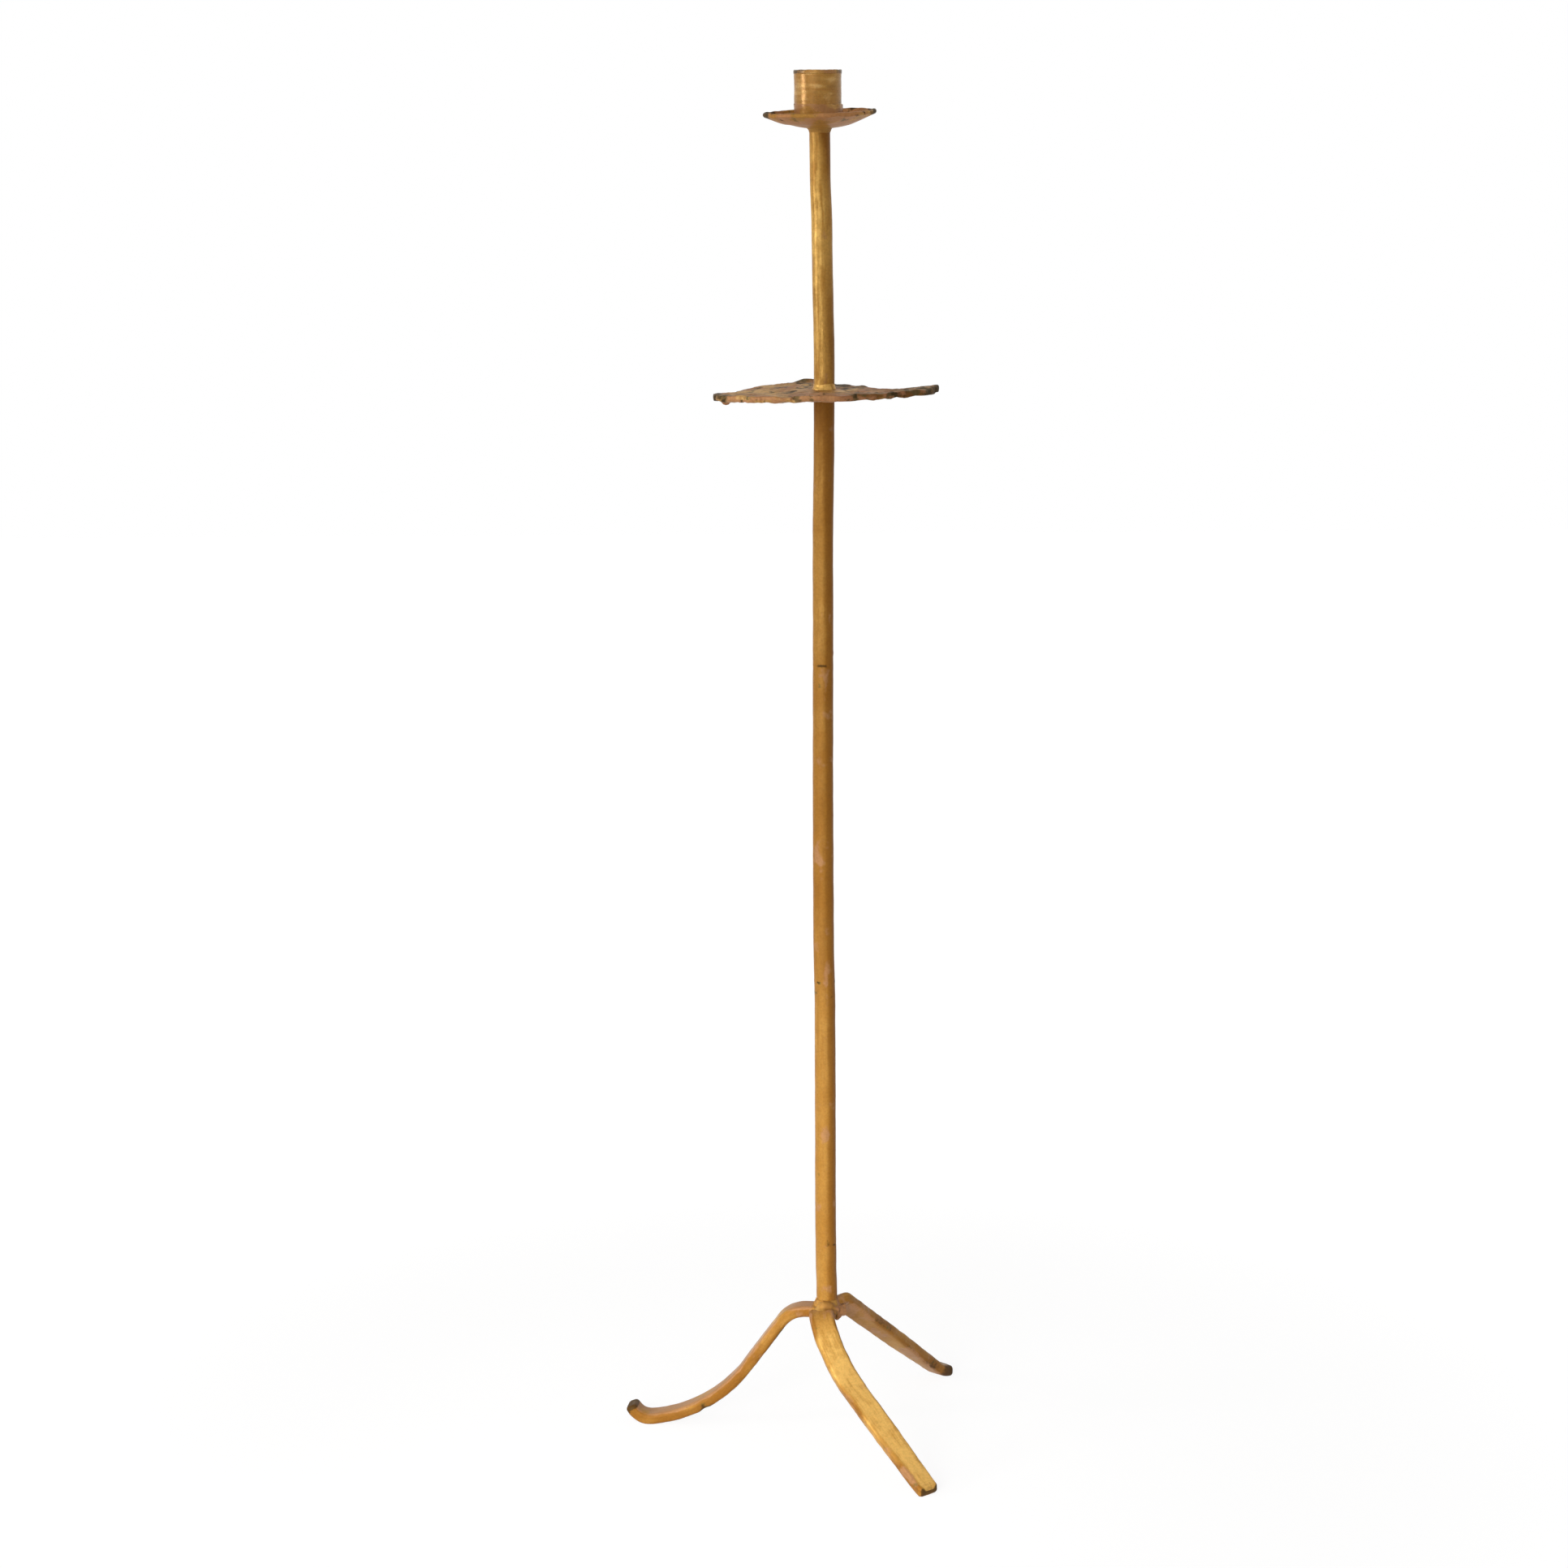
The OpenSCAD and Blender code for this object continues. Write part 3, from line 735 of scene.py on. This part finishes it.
# how far out the torn edge lies
def dishEdge(plate, angle):
    wave = 0.45 * sin(2 * angle + radians(20)) + 0.3 * sin(5 * angle + radians(75)) + 0.25 * sin(11 * angle)
    x, y = cos(angle) * 87 * mm, sin(angle) * 87 * mm
    return plate["radius"] + plate["wave"] * wave + bumps(x, y, 0, plate["torn"])


# how high the plate's middle lies; share runs from 0 at the hole to 1 at the edge
def dishHeight(plate, x, y, share, angle):
    lift = readRound(plate["lift"], angle * 180 / pi) * mm * share ** 2.2
    sag = plate["sag"] * ease(x, -2 * mm, 14 * mm) * ease(y, 4 * mm, 60 * mm)
    (dipX, dipY), (dipWide, dipLong) = plate["dipPlace"], plate["dipSize"]
    gap = hypot((x - dipX) / dipWide, (y - dipY) / dipLong)
    sag += plate["dip"] * max(0, 1 - gap * gap) ** 2
    waves = bumps(x, y, 0, plate["beaten"]) * ease(share, 0.1, 0.35)
    return lift - sag + x * plate["tilt"] * ease(share, 0.05, 0.3) + waves


# wear, blush and glow; top is 1 on the upper side and -1 below
def dishMarks(x, y, top, share):
    edge = ease(share, 0.93, 1)
    front = ease(-y, 15 * mm, 60 * mm)
    hollow = max(0, 0.04 - rough(x, y, 0, 11 * mm, 44))
    wearAndShade = 0.4 * edge * (0.7 + rough(x, y, top, 6 * mm, 51)) * (1 - 0.7 * front)
    wearAndShade += 0.9 * hollow * (1 - 0.5 * front)
    wearAndShade += 0.6 * max(0, rough(x, y * 0.5, top, 15 * mm, 48))
    wearAndShade += 0.9 * max(0, rough(x * 1.4, y * 0.4, top, 6 * mm, 52))
    wearAndShade += 0.35 * ease(abs(x), 66 * mm, 86 * mm)  # both arms end dark
    wearAndShade += 0.35 * ease(y, 50 * mm, 78 * mm) + 0.2 * ease(x, 6 * mm, 40 * mm)
    blush = 0.12 + 0.8 * rough(x, y * 0.5, top, 19 * mm, 50) + 0.25 * ease(x, 10 * mm, 30 * mm)
    blush += 0.7 * ease(30 * mm - hypot(x + 4 * mm, (y + 74 * mm) * 0.7), 0, 18 * mm)  # rosy front edge
    glow = 0.4 + 0.8 * rough(x, y * 0.5, top, 20 * mm, 49) + 0.3 * ease(-x, 10 * mm, 50 * mm) + 0.15 * front
    # painted shade on the right part of the front rim, whose side face is turned from the light
    glow -= 0.9 * edge * front * ease(x, 2 * mm, 20 * mm)
    return wearAndShade, blush, glow


# one ring of the plate; spread takes it from the upper or lower face towards the rim's middle
def dishRing(plate, share, top, spread=1, out=0):
    half = plate["thick"] / 2
    ring = []
    for k in range(plate["segments"]):
        angle = 2 * pi * k / plate["segments"]
        r = plate["hole"] + (dishEdge(plate, angle) - plate["hole"]) * share + out
        x, y = r * cos(angle), r * sin(angle)
        thick = half + (plate["edgeThick"] / 2 - half) * ease(share, 0.86, 0.98)
        thick *= 1 + 0.35 * rough(x, y, 0, 9 * mm, 45) * ease(share, 0.1, 0.4)
        skinned = bumps(x, y, top * 9 * mm, plate["skin"]) * ease(share, 0.12, 0.3)
        z = dishHeight(plate, x, y, share, angle) + (top * thick + skinned) * spread
        if top < 0:
            for at, far, size, drop in plate["drips"]:
                a = radians(at)
                gap = hypot(x / mm - far * cos(a), y / mm - far * sin(a)) / size
                z -= drop * mm * sqrt(max(0, 1 - gap * gap))
        ring.append((
            stemX + x + plate["sideways"] * ease(share, 0.1, 0.5), stemY + y, dishZ + half + z,
            x, y, z, *dishMarks(x, y, top, share),
        ))
    return ring


def makeDish(plate):
    shares = [(k / plate["rings"]) ** 0.9 for k in range(plate["rings"])]
    upper = [dishRing(plate, share, 1) for share in shares]
    lower = [dishRing(plate, share, -1) for share in reversed(shares)]
    rim = []
    for degrees, top in ((25, 1), (50, 1), (75, 1), (90, 1), (75, -1), (50, -1), (25, -1)):
        a = radians(degrees)
        rim.append(dishRing(plate, 1, top, cos(a), -plate["edgeRound"] * (1 - sin(a))))
    shell = skin(upper + rim + lower, loop=True)
    makePiece("beatenDish", shell, "dish", "brown_gilt", "dish")


makeDish(dishPlate)


panDish = dict(
    radius=43 * mm, depth=11 * mm, wall=2 * mm, rim=1.7 * mm, floor=3.5 * mm, hole=3.05 * mm,
    seat=19.4 * mm, segments=160, tilt=radians(1.6), forward=radians(2.4), sideways=-1.2 * mm,
    # noises as amount and size in mm, and seed: the beaten skin, and the rim in height and in plan,
    # where the amounts are thousandths of the radius
    beaten=((0.45, 15, 61), (0.2, 6, 62)),
    rimHeight=((0.5, 7, 65),),
    rimPlan=((12, 12, 63), (8, 4, 64)),
)


# the pan's section: a shell of a ball with a rolled rim and a flat seat for the cup
def panProfile(pan):
    ball = (pan["radius"] ** 2 + pan["depth"] ** 2) / (2 * pan["depth"])
    inner = ball - pan["wall"]
    stem = stemBar["radius"]
    centre = sqrt(ball ** 2 - stem ** 2)
    rimR = pan["radius"] - pan["rim"]
    rimZ = centre - sqrt(ball ** 2 - rimR ** 2) + pan["rim"]
    under, above = rimR - 1.2 * mm, rimR - 1.7 * mm  # where the two faces meet the roll
    seat, floor = pan["seat"], pan["floor"]
    profile = [(pan["hole"], 0), (stem * 0.7, 0)]
    for k in range(20):
        r = stem + (under - stem) * k / 19
        profile.append((r, centre - sqrt(ball ** 2 - r ** 2)))
    for k in range(11):
        a = radians(-75 + 240 * k / 10)
        profile.append((rimR + pan["rim"] * cos(a), rimZ + pan["rim"] * sin(a)))
    for k in range(13):
        r = above + (seat - above) * k / 12
        profile.append((r, centre - sqrt(inner ** 2 - r ** 2)))
    return profile + [(seat - 0.5 * mm, floor), (seat * 0.55, floor), (pan["hole"], floor)]


def panMarks(x, y, z, r):
    edge = ease(r, 37 * mm, 42 * mm)
    wearAndShade = 0.5 * edge * (0.5 + rough(x, y, 0, 10 * mm, 66)) * ease(y, -35 * mm, 5 * mm)
    wearAndShade += 0.75 * edge * ease(abs(x), 37 * mm, 42 * mm)  # dark at the rim's left and right
    wearAndShade += 0.5 * max(0, rough(x, y, z * 2, 9 * mm, 67) - 0.1)
    wearAndShade += 0.55 * max(0, rough(x, y, z, 5 * mm, 70)) + 0.12 * ease(r, 18 * mm, 34 * mm)
    spots = max(0, rough(x, y, z, 4.5 * mm, 69) - 0.05)
    wearAndShade += 1.1 * spots * ease(r, 32 * mm, 40 * mm) * ease(abs(x), 10 * mm, 26 * mm)
    blush = 0.25 + 0.9 * rough(x, y, z, 11 * mm, 68) + 0.2 * ease(x, 0, 25 * mm)
    # an olive gold tongue runs out from the stem's weld
    blush -= 0.8 * ease(12 * mm - abs(x + 3 * mm), 0, 8 * mm) * ease(24 * mm - r, 0, 14 * mm)
    glow = 0.36 + 0.4 * ease(x, 0, 30 * mm) - 0.12 * ease(-x, 0, 25 * mm)
    return wearAndShade, blush, glow


def makePan(pan):
    barLean = stemLean(panZ)

    def shape(r, z, angle):
        x, y = r * cos(angle), r * sin(angle)
        free = ease(r, 20 * mm, 30 * mm)  # the middle stays true to the stem and the cup
        edge = ease(r, 37 * mm, 42 * mm)
        out = 1 + edge * bumps(x, y, 0, pan["rimPlan"])
        high = z + (x * pan["tilt"] + y * pan["forward"]) * free + edge * bumps(x, y, z, pan["rimHeight"])
        high += bumps(x, y, 0, pan["beaten"]) * ease(r, 12 * mm, 30 * mm)
        lean = barLean * (1 - free) + pan["sideways"] * free
        return (stemX + x * out + lean, stemY + y * out, panZ + high, x, y, z, *panMarks(x, y, z, r))

    shell = revolve(panProfile(pan), pan["segments"], shape, True)
    makePiece("dripPan", shell, "pan", "brown_gilt", "drip_pan")


makePan(panDish)


candleCup = dict(
    outer=18 * mm, inner=16 * mm, height=40 * mm, floor=3.5 * mm, hole=3.05 * mm, headSpread=2.6 * mm,
    lip=0.28 * mm, lipBand=3 * mm, segments=120, dent=0.3 * mm, dentSize=13 * mm,
    collarOuter=18.5 * mm, collarHeight=14.6 * mm, collarFit=0.02 * mm, collarLift=0.05 * mm,
    # the cup stands a little to the left of the stem, and leans further at its top
    foot=-1.3 * mm, top=-2.7 * mm,
    # noises as amount and size in mm, and seed: the lip's edge and the collar's ragged edge
    lipEdge=((0.35, 9, 73), (0.2, 3, 74)),
    ragged=((1.3, 10, 81), (0.7, 3.4, 82)),
)


def cupLean(cup, z):
    return cup["foot"] + (cup["top"] - cup["foot"]) * ease(z, -5 * mm, 20 * mm)


def makeCup(cup):
    outer, inner, height, floor, hole = (cup[key] for key in ("outer", "inner", "height", "floor", "hole"))
    bandZ = height - cup["lipBand"]
    proud = outer + cup["lip"]
    profile = profileOf((
        (hole, 0, 0), (outer, 0, 0.8 * mm), (outer, bandZ, 0.3 * mm), (proud, bandZ + 0.4 * mm, 0.3 * mm),
        (proud, height, 0.9 * mm), (inner, height, 0.7 * mm), (inner, floor, 0.8 * mm),
        (hole + cup["headSpread"], floor, 0), (hole, floor - cup["headSpread"], 0),
    ), 1.6 * mm, True)

    def marks(x, y, z, r, angle):
        inside = ease(outer - r, 0.8 * mm, 1.8 * mm)
        lip = ease(z, bandZ - 0.4 * mm, bandZ + 0.6 * mm)
        wearAndShade = 0.28 * lip + 0.3 * inside * ease(z, 34 * mm, 10 * mm)
        wearAndShade += 0.4 * max(0, rough(x, y, z, 8 * mm, 75) - 0.1)
        wearAndShade += 0.5 * lip * ease(cos(angle - radians(205)), 0.7, 1)
        wearAndShade += 0.4 * ease(cos(angle + radians(8)), 0.8, 0.98) * (1 - inside)  # painted shade towards the right side, away from the lamps
        blush = 0.35 * ease(z, 18 * mm, 12 * mm) + 0.45 * lip + 0.3 * rough(x, y, z, 14 * mm, 76)
        glow = 0.55 + 0.4 * rough(x, y, z * 2, 10 * mm, 77)
        return wearAndShade, blush, glow

    def shape(r, z, angle):
        x, y = r * cos(angle), r * sin(angle)
        dent = rough(x, y, z, cup["dentSize"], 71) + 0.4 * rough(x, y, z * 1.6, 4 * mm, 72)
        scale = 1 + cup["dent"] * dent * ease(r, 10 * mm, 15 * mm) / max(r, mm)
        high = z + bumps(x, y, 0, cup["lipEdge"]) * ease(z, height - 2.5 * mm, height)
        return (
            stemX + x * scale + cupLean(cup, z), stemY + y * scale, cupZ + high,
            y * 0.1, z, x, *marks(x, y, z, r, angle),
        )

    shell = revolve(profile, cup["segments"], shape, True)
    makePiece("candleCup", shell, "cup", "gilt_iron", "candle_cup")


def makeCollar(cup):
    inner, outer = cup["outer"] + cup["collarFit"], cup["collarOuter"]
    low, high = cup["collarLift"], cup["collarHeight"]
    profile = profileOf((
        (inner, low, 0), (outer, low, 0.3 * mm), (outer, high, 0.35 * mm), (inner, high, 0.25 * mm),
    ), 1.2 * mm, True)

    def shape(r, z, angle):
        x, y = r * cos(angle), r * sin(angle)
        up = ease(z, 4 * mm, high)
        bulge = 0.6 * mm * max(0, cos(angle - 0.05)) ** 30 * up  # bent off the cup at the right
        thin = 0.25 * rough(x, y, z, 6 * mm, 83) - 0.1 + 0.16 * rough(x, y, z, 5 * mm, 84)
        dent = cup["dent"] * rough(x * cup["outer"] / r, y * cup["outer"] / r, z, cup["dentSize"], 71)
        scale = 1 + (dent + thin * (r - inner) + bulge) / r
        edge = ease(z, high - 2.4 * mm, high)
        wearAndShade = 0.5 * edge * (0.6 + rough(x, y, 0, 7 * mm, 85)) + 0.3 * max(0, rough(x, y, z, 7 * mm, 86))
        blush = 0.5 + 0.6 * rough(x, y, z, 12 * mm, 87)
        return (
            stemX + x * scale + cupLean(cup, z), stemY + y * scale,
            cupZ + z + bumps(x, y, 0, cup["ragged"]) * up, y * 0.1, z, x, wearAndShade, blush, 0.6,
        )

    shell = revolve(profile, cup["segments"], shape, True)
    makePiece("cupCollar", shell, "cup", "gilt_iron", "cup_collar")


makeCup(candleCup)
makeCollar(candleCup)


# the screw in the bottom of the cup
cupScrew = dict(
    shank=3 * mm, head=5.6 * mm, rise=2.6 * mm, length=21 * mm, segments=48,
    slotWide=1.3 * mm, slotDeep=1.1 * mm, turn=0.6,
)


def makeScrew(screw):
    x, y, topZ = stemX + candleCup["foot"], stemY, cupZ + candleCup["floor"]
    endZ = topZ - screw["length"]
    profile = profileOf((
        (0, topZ, 0), (screw["head"], topZ, 0.25 * mm), (screw["shank"], topZ - screw["rise"], 0.2 * mm),
        (screw["shank"], endZ, 0.4 * mm), (0, endZ, 0),
    ), mm, False)

    def shape(r, z, angle):
        away, aside = r * cos(angle), r * sin(angle)
        return (x + away, y + aside, z, away, aside, z, 0.3, 0, 0.5)

    shell = revolve(profile, screw["segments"], shape, False)
    piece = makePiece("cupScrew", shell, "steel", "plain_steel", "cup_screw")
    slotSize = (4 * screw["head"], screw["slotWide"], 2 * screw["slotDeep"])
    work = bmesh.new()
    bmesh.ops.create_cube(work, size=1)
    bmesh.ops.scale(work, vec=slotSize, verts=work.verts)
    bmesh.ops.rotate(work, cent=(0, 0, 0), matrix=Matrix.Rotation(screw["turn"], 3, "Z"), verts=work.verts)
    bmesh.ops.translate(work, vec=(x, y, topZ), verts=work.verts)
    block = addMesh("slotCutter", work)
    cut = piece.modifiers.new("slot", "BOOLEAN")
    cut.operation, cut.object, cut.solver = "DIFFERENCE", block, "EXACT"
    applyShape(piece)
    bpy.data.objects.remove(block)


makeScrew(cupScrew)


weldBeads = dict(
    # a bead round the stem, a thinner one above it that runs up the stem, and lumps
    root=dict(
        ring=9 * mm, z=106.4 * mm, bead=2.3 * mm, count=26, voxel=0.75 * mm,
        upperRing=8.4 * mm, upperZ=109.3 * mm, upperWide=1.3 * mm, upperHigh=2.8 * mm,
        skin=((0.25, 4.2, 91), (0.06, 2.2, 92)),  # noises as amount and size in mm, and seed
        # a lump's angle, distance from the axis, height, half width and half height, in degrees and mm
        lumps=(
            # web between the left and front legs
            (236, 9.6, 102.5, 3.2, 4.2), (232, 9.2, 99.4, 2.6, 2.4), (206, 12, 105.2, 2.2, 2.4),
            (217, 13.8, 104.8, 3.2, 2.8), (222, 15.6, 102.6, 2.6, 2.8), (212, 12.6, 101.6, 2.8, 3.2),
            # web between the front and right legs
            (354, 11, 103.2, 3.6, 4), (0, 13.8, 103.4, 3.2, 3.6), (328, 11.4, 100.4, 3.6, 3.8),
            (318, 13, 99.8, 3, 3.4), (334, 13, 101.2, 3.4, 3.4), (347, 14.2, 100.8, 3.6, 3.6),
            (338, 12, 103.6, 3.2, 3), (309, 14, 99.4, 2.6, 3.2), (310, 13, 105.2, 3, 2.4),
            # on the right leg's root
            (20, 15.5, 106.2, 2.2, 2), (28, 12.4, 106.8, 3, 2.4), (50, 12, 108.6, 3.4, 2.6),
            (72, 12, 108, 3.2, 2.4),
            # web between the right and left legs, at the back
            (110, 11, 102.8, 3.4, 4.2), (96, 12.6, 103.6, 2.8, 3.2), (118, 10.6, 99.6, 2.6, 2.6),
            # in front, where the stem runs on into the front leg
            (240, 12.6, 105.2, 3.2, 2.8), (250, 11, 107.2, 3.6, 3.8), (263, 10.4, 108, 3.6, 4.4),
            (277, 10.4, 108, 3.6, 4.4), (290, 11, 107.2, 3.6, 3.8), (300, 12.2, 105.6, 3.2, 2.8),
            (252, 15, 104.8, 3.8, 2.6), (265, 15.2, 104.8, 4.4, 3), (279, 15.2, 104.6, 4.4, 3),
            (291, 15.2, 103.9, 3.6, 2.5), (258, 19, 102.8, 4, 2.3), (270, 19.4, 102.8, 4.6, 2.5),
            (282, 19, 102.4, 4, 2.3), (261, 22.4, 99.9, 4.6, 2.3), (275, 22.4, 99.9, 4.6, 2.3),
        ),
    ),
    # the fillets round the stem, up from the dish and down from the pan
    dish=dict(node="dish_weld", z=dishTopZ, way=1, wide=1.5 * mm, high=4.2 * mm, look="bar", glow=0.9),
    pan=dict(
        node="pan_weld", z=panZ + 0.5 * mm, way=-1, wide=2.1 * mm, high=3.4 * mm, look="weld", glow=0.4,
    ),
)


# lumps as (x, y, z, half width, half height), melted together by a voxel remesh
def meltLumps(name, lumps, voxel):
    work = bmesh.new()
    for x, y, z, wide, high in lumps:
        ball = bmesh.ops.create_icosphere(work, subdivisions=3, radius=1)["verts"]
        bmesh.ops.scale(work, vec=(wide, wide, high), verts=ball)
        bmesh.ops.translate(work, vec=(x, y, z), verts=ball)
    mass = addMesh(name, work)
    melt = mass.modifiers.new("melt", "REMESH")
    melt.mode, melt.voxel_size, melt.use_smooth_shade = "VOXEL", voxel, True
    soften = mass.modifiers.new("soften", "SMOOTH")
    soften.factor, soften.iterations = 0.5, 6
    applyShape(mass)
    return mass


def makeRootWeld(weld):
    lumps = []
    centreX = stemX + stemLean(footZ)
    for k in range(weld["count"]):
        a = 2 * pi * k / weld["count"]
        wander = rough(cos(a) * 3, sin(a) * 3, 0, 1, 93)
        shift = 0.5 * mm * wander
        wide, upperWide = weld["bead"] * (1 + 0.22 * wander), weld["upperWide"] * (1 + 0.2 * wander)
        for r, z, half, high in (
            (weld["ring"] + shift, weld["z"] + shift, wide, wide * 1.1),
            (weld["upperRing"], weld["upperZ"] + 2 * shift, upperWide, weld["upperHigh"]),
        ):
            lumps.append((centreX + r * cos(a), stemY + r * sin(a), z, half, high))
    for at, r, z, wide, high in weld["lumps"]:
        a = radians(at)
        lumps.append((stemX + r * mm * cos(a), stemY + r * mm * sin(a), z * mm, wide * mm, high * mm))
    mass = meltLumps("rootMass", lumps, weld["voxel"])

    def marks(x, y, z):
        aside = x - stemX
        front = ease(stemY - y, 6 * mm, 14 * mm)
        wearAndShade = 0.3 * ease(z, 102 * mm, 98 * mm) + 0.5 * max(0, rough(x, y, z, 5 * mm, 94))
        wearAndShade += 0.5 * ease(aside, 7 * mm, 9 * mm) * ease(z, 105 * mm, 107 * mm)  # painted shade beside the stem, on its right side
        blush = 0.05 + 0.5 * ease(abs(aside), 8 * mm, 12 * mm) + 0.5 * rough(x, y, z, 8 * mm, 95)
        # painted light on the front's left and painted shade on its right, matching the stem's lit and shaded
        # sides
        glow = 0.4 + front * (0.25 - 0.55 * ease(aside, -6.5 * mm, mm))
        return wearAndShade, blush, glow

    points = []
    for vertex in mass.data.vertices:
        x, y, z = vertex.co
        place = vertex.co + vertex.normal * bumps(x, y, z, weld["skin"])
        points.append((*place, x - stemX, y - stemY, z, *marks(x, y, z)))
    faces = [tuple(face.vertices) for face in mass.data.polygons]
    bpy.data.objects.remove(mass)
    makePiece("rootWeld", (points, faces), "weld", "brown_gilt", "root_weld")


def makeFillet(name, weld):
    inner = stemBar["radius"] - 0.15 * mm
    wide, high, sunk = weld["wide"], weld["high"], -0.6 * mm
    lean = stemLean(weld["z"])
    profile = profileOf((
        (inner, sunk, 0), (inner + wide, sunk, 0), (inner + wide * 0.9, 0.18 * high, 0.5 * mm),
        (inner + wide * 0.4, 0.5 * high, 1.2 * mm), (inner + 0.25 * mm, high, 0.2 * mm),
        (inner - 0.1 * mm, high, 0),
    ), 0.6 * mm, True)

    def shape(r, z, angle):
        x, y = r * cos(angle), r * sin(angle)
        lump = 0.4 * rough(x, y, z, 5 * mm, 96) + 0.2 * rough(x, y, z, 2.4 * mm, 97)
        scale = 1 + (r - inner) * lump / r
        rise = z * (1 + 0.25 * rough(cos(angle), sin(angle), 0, 0.5, 98)) if z > 0 else z
        wearAndShade = 0.35 * max(0, rough(x, y, z, 4 * mm, 99))
        return (
            stemX + lean + x * scale, stemY + y * scale, weld["z"] + weld["way"] * rise,
            x, y, z, wearAndShade, 0.1, weld["glow"],
        )

    shell = revolve(profile, 72, shape, True)
    makePiece(name, shell, weld["look"], "brown_gilt", weld["node"])


makeRootWeld(weldBeads["root"])
makeFillet("dishWeld", weldBeads["dish"])
makeFillet("panWeld", weldBeads["pan"])

# the stud stays as the frame has it, hidden in the joint
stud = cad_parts["stem_stud"]
stud.data.materials.clear()
stud.data.materials.append(finish["steel"])


# the lamps, the background and the floor
studio = dict(
    lamps=dict(
        key=dict(place=(-3.25, -0.81, 1.4), aim=(stemX, stemY, 0.7), size=0.9, power=33, spread=180),
        front=dict(place=(-1.5, -2.9, 2.2), aim=(stemX, stemY, 0.55), size=3, power=33, spread=180),
        low=dict(place=(-0.55, -1.5, 0.45), aim=(stemX, stemY, 0.03), size=0.8, power=2.4, spread=50),
    ),
    fill=(0.3, 0.29, 0.28),
    floorSize=6, floorTone=0.9, floorGlow=1.07, shadowShare=0.16, shadowReach=(0.35, 1.1),
)


def makeLamp(name, lamp):
    data = bpy.data.lights.new(name, "AREA")
    data.shape, data.size = "DISK", lamp["size"]
    data.energy, data.spread = lamp["power"], radians(lamp["spread"])
    made = addObject(name, data)
    made.location = lamp["place"]
    made.rotation_euler = (Vector(lamp["aim"]) - Vector(lamp["place"])).to_track_quat("-Z", "Y").to_euler()


# 1 for these kinds of ray, 0 for the rest
def raysOf(w, *kinds):
    seen = sum(w.node("LightPath", out="Is " + kind + " Ray") for kind in kinds)
    return seen.sum("MINIMUM", seen, 1.0)


# white to look at, and dimmer as a light on the piece
def makeWorld(room):
    world = bpy.data.worlds.new("studioWorld")
    world.use_nodes = True
    world.node_tree.nodes.clear()
    w = Wire(world.node_tree)
    white = raysOf(w, "Camera", "Glossy", "Transmission")
    colour = white.lay(rgb((1, 1, 1)), rgb(room["fill"]))
    background = w.node("Background", None, {"Color": colour, "Strength": 1.0})
    w.node("OutputWorld", None, {"Surface": background})
    scene.world = world


# paper that glows white, with only a faint shadow under the feet
def makeFloor(room):
    work = bmesh.new()
    bmesh.ops.create_grid(work, x_segments=8, y_segments=8, size=room["floorSize"])
    floor = addMesh("paleFloor", work)
    material, w = startMaterial("palePaper")
    place = w.node("TexCoord", out="Object")
    reach = w.node("VectorMath", {"operation": "LENGTH"}, {0: place}, out="Value")
    shadow = room["shadowShare"] * (1 - reach.band(*room["shadowReach"]))
    white = raysOf(w, "Camera", "Glossy") * (1 - shadow)
    paper = w.node("BsdfDiffuse", None, {"Color": rgb((room["floorTone"],) * 3)})
    glow = w.node("Emission", None, {"Color": rgb((1, 1, 1)), "Strength": room["floorGlow"]})
    w.node("OutputMaterial", None, {"Surface": w.node("MixShader", None, {0: white, 1: paper, 2: glow})})
    floor.data.materials.append(material)


for name, lamp in studio["lamps"].items():
    makeLamp(name + "Lamp", lamp)
makeWorld(studio)
makeFloor(studio)
scene.view_settings.view_transform = "Standard"
print("floor, lamps and background made")
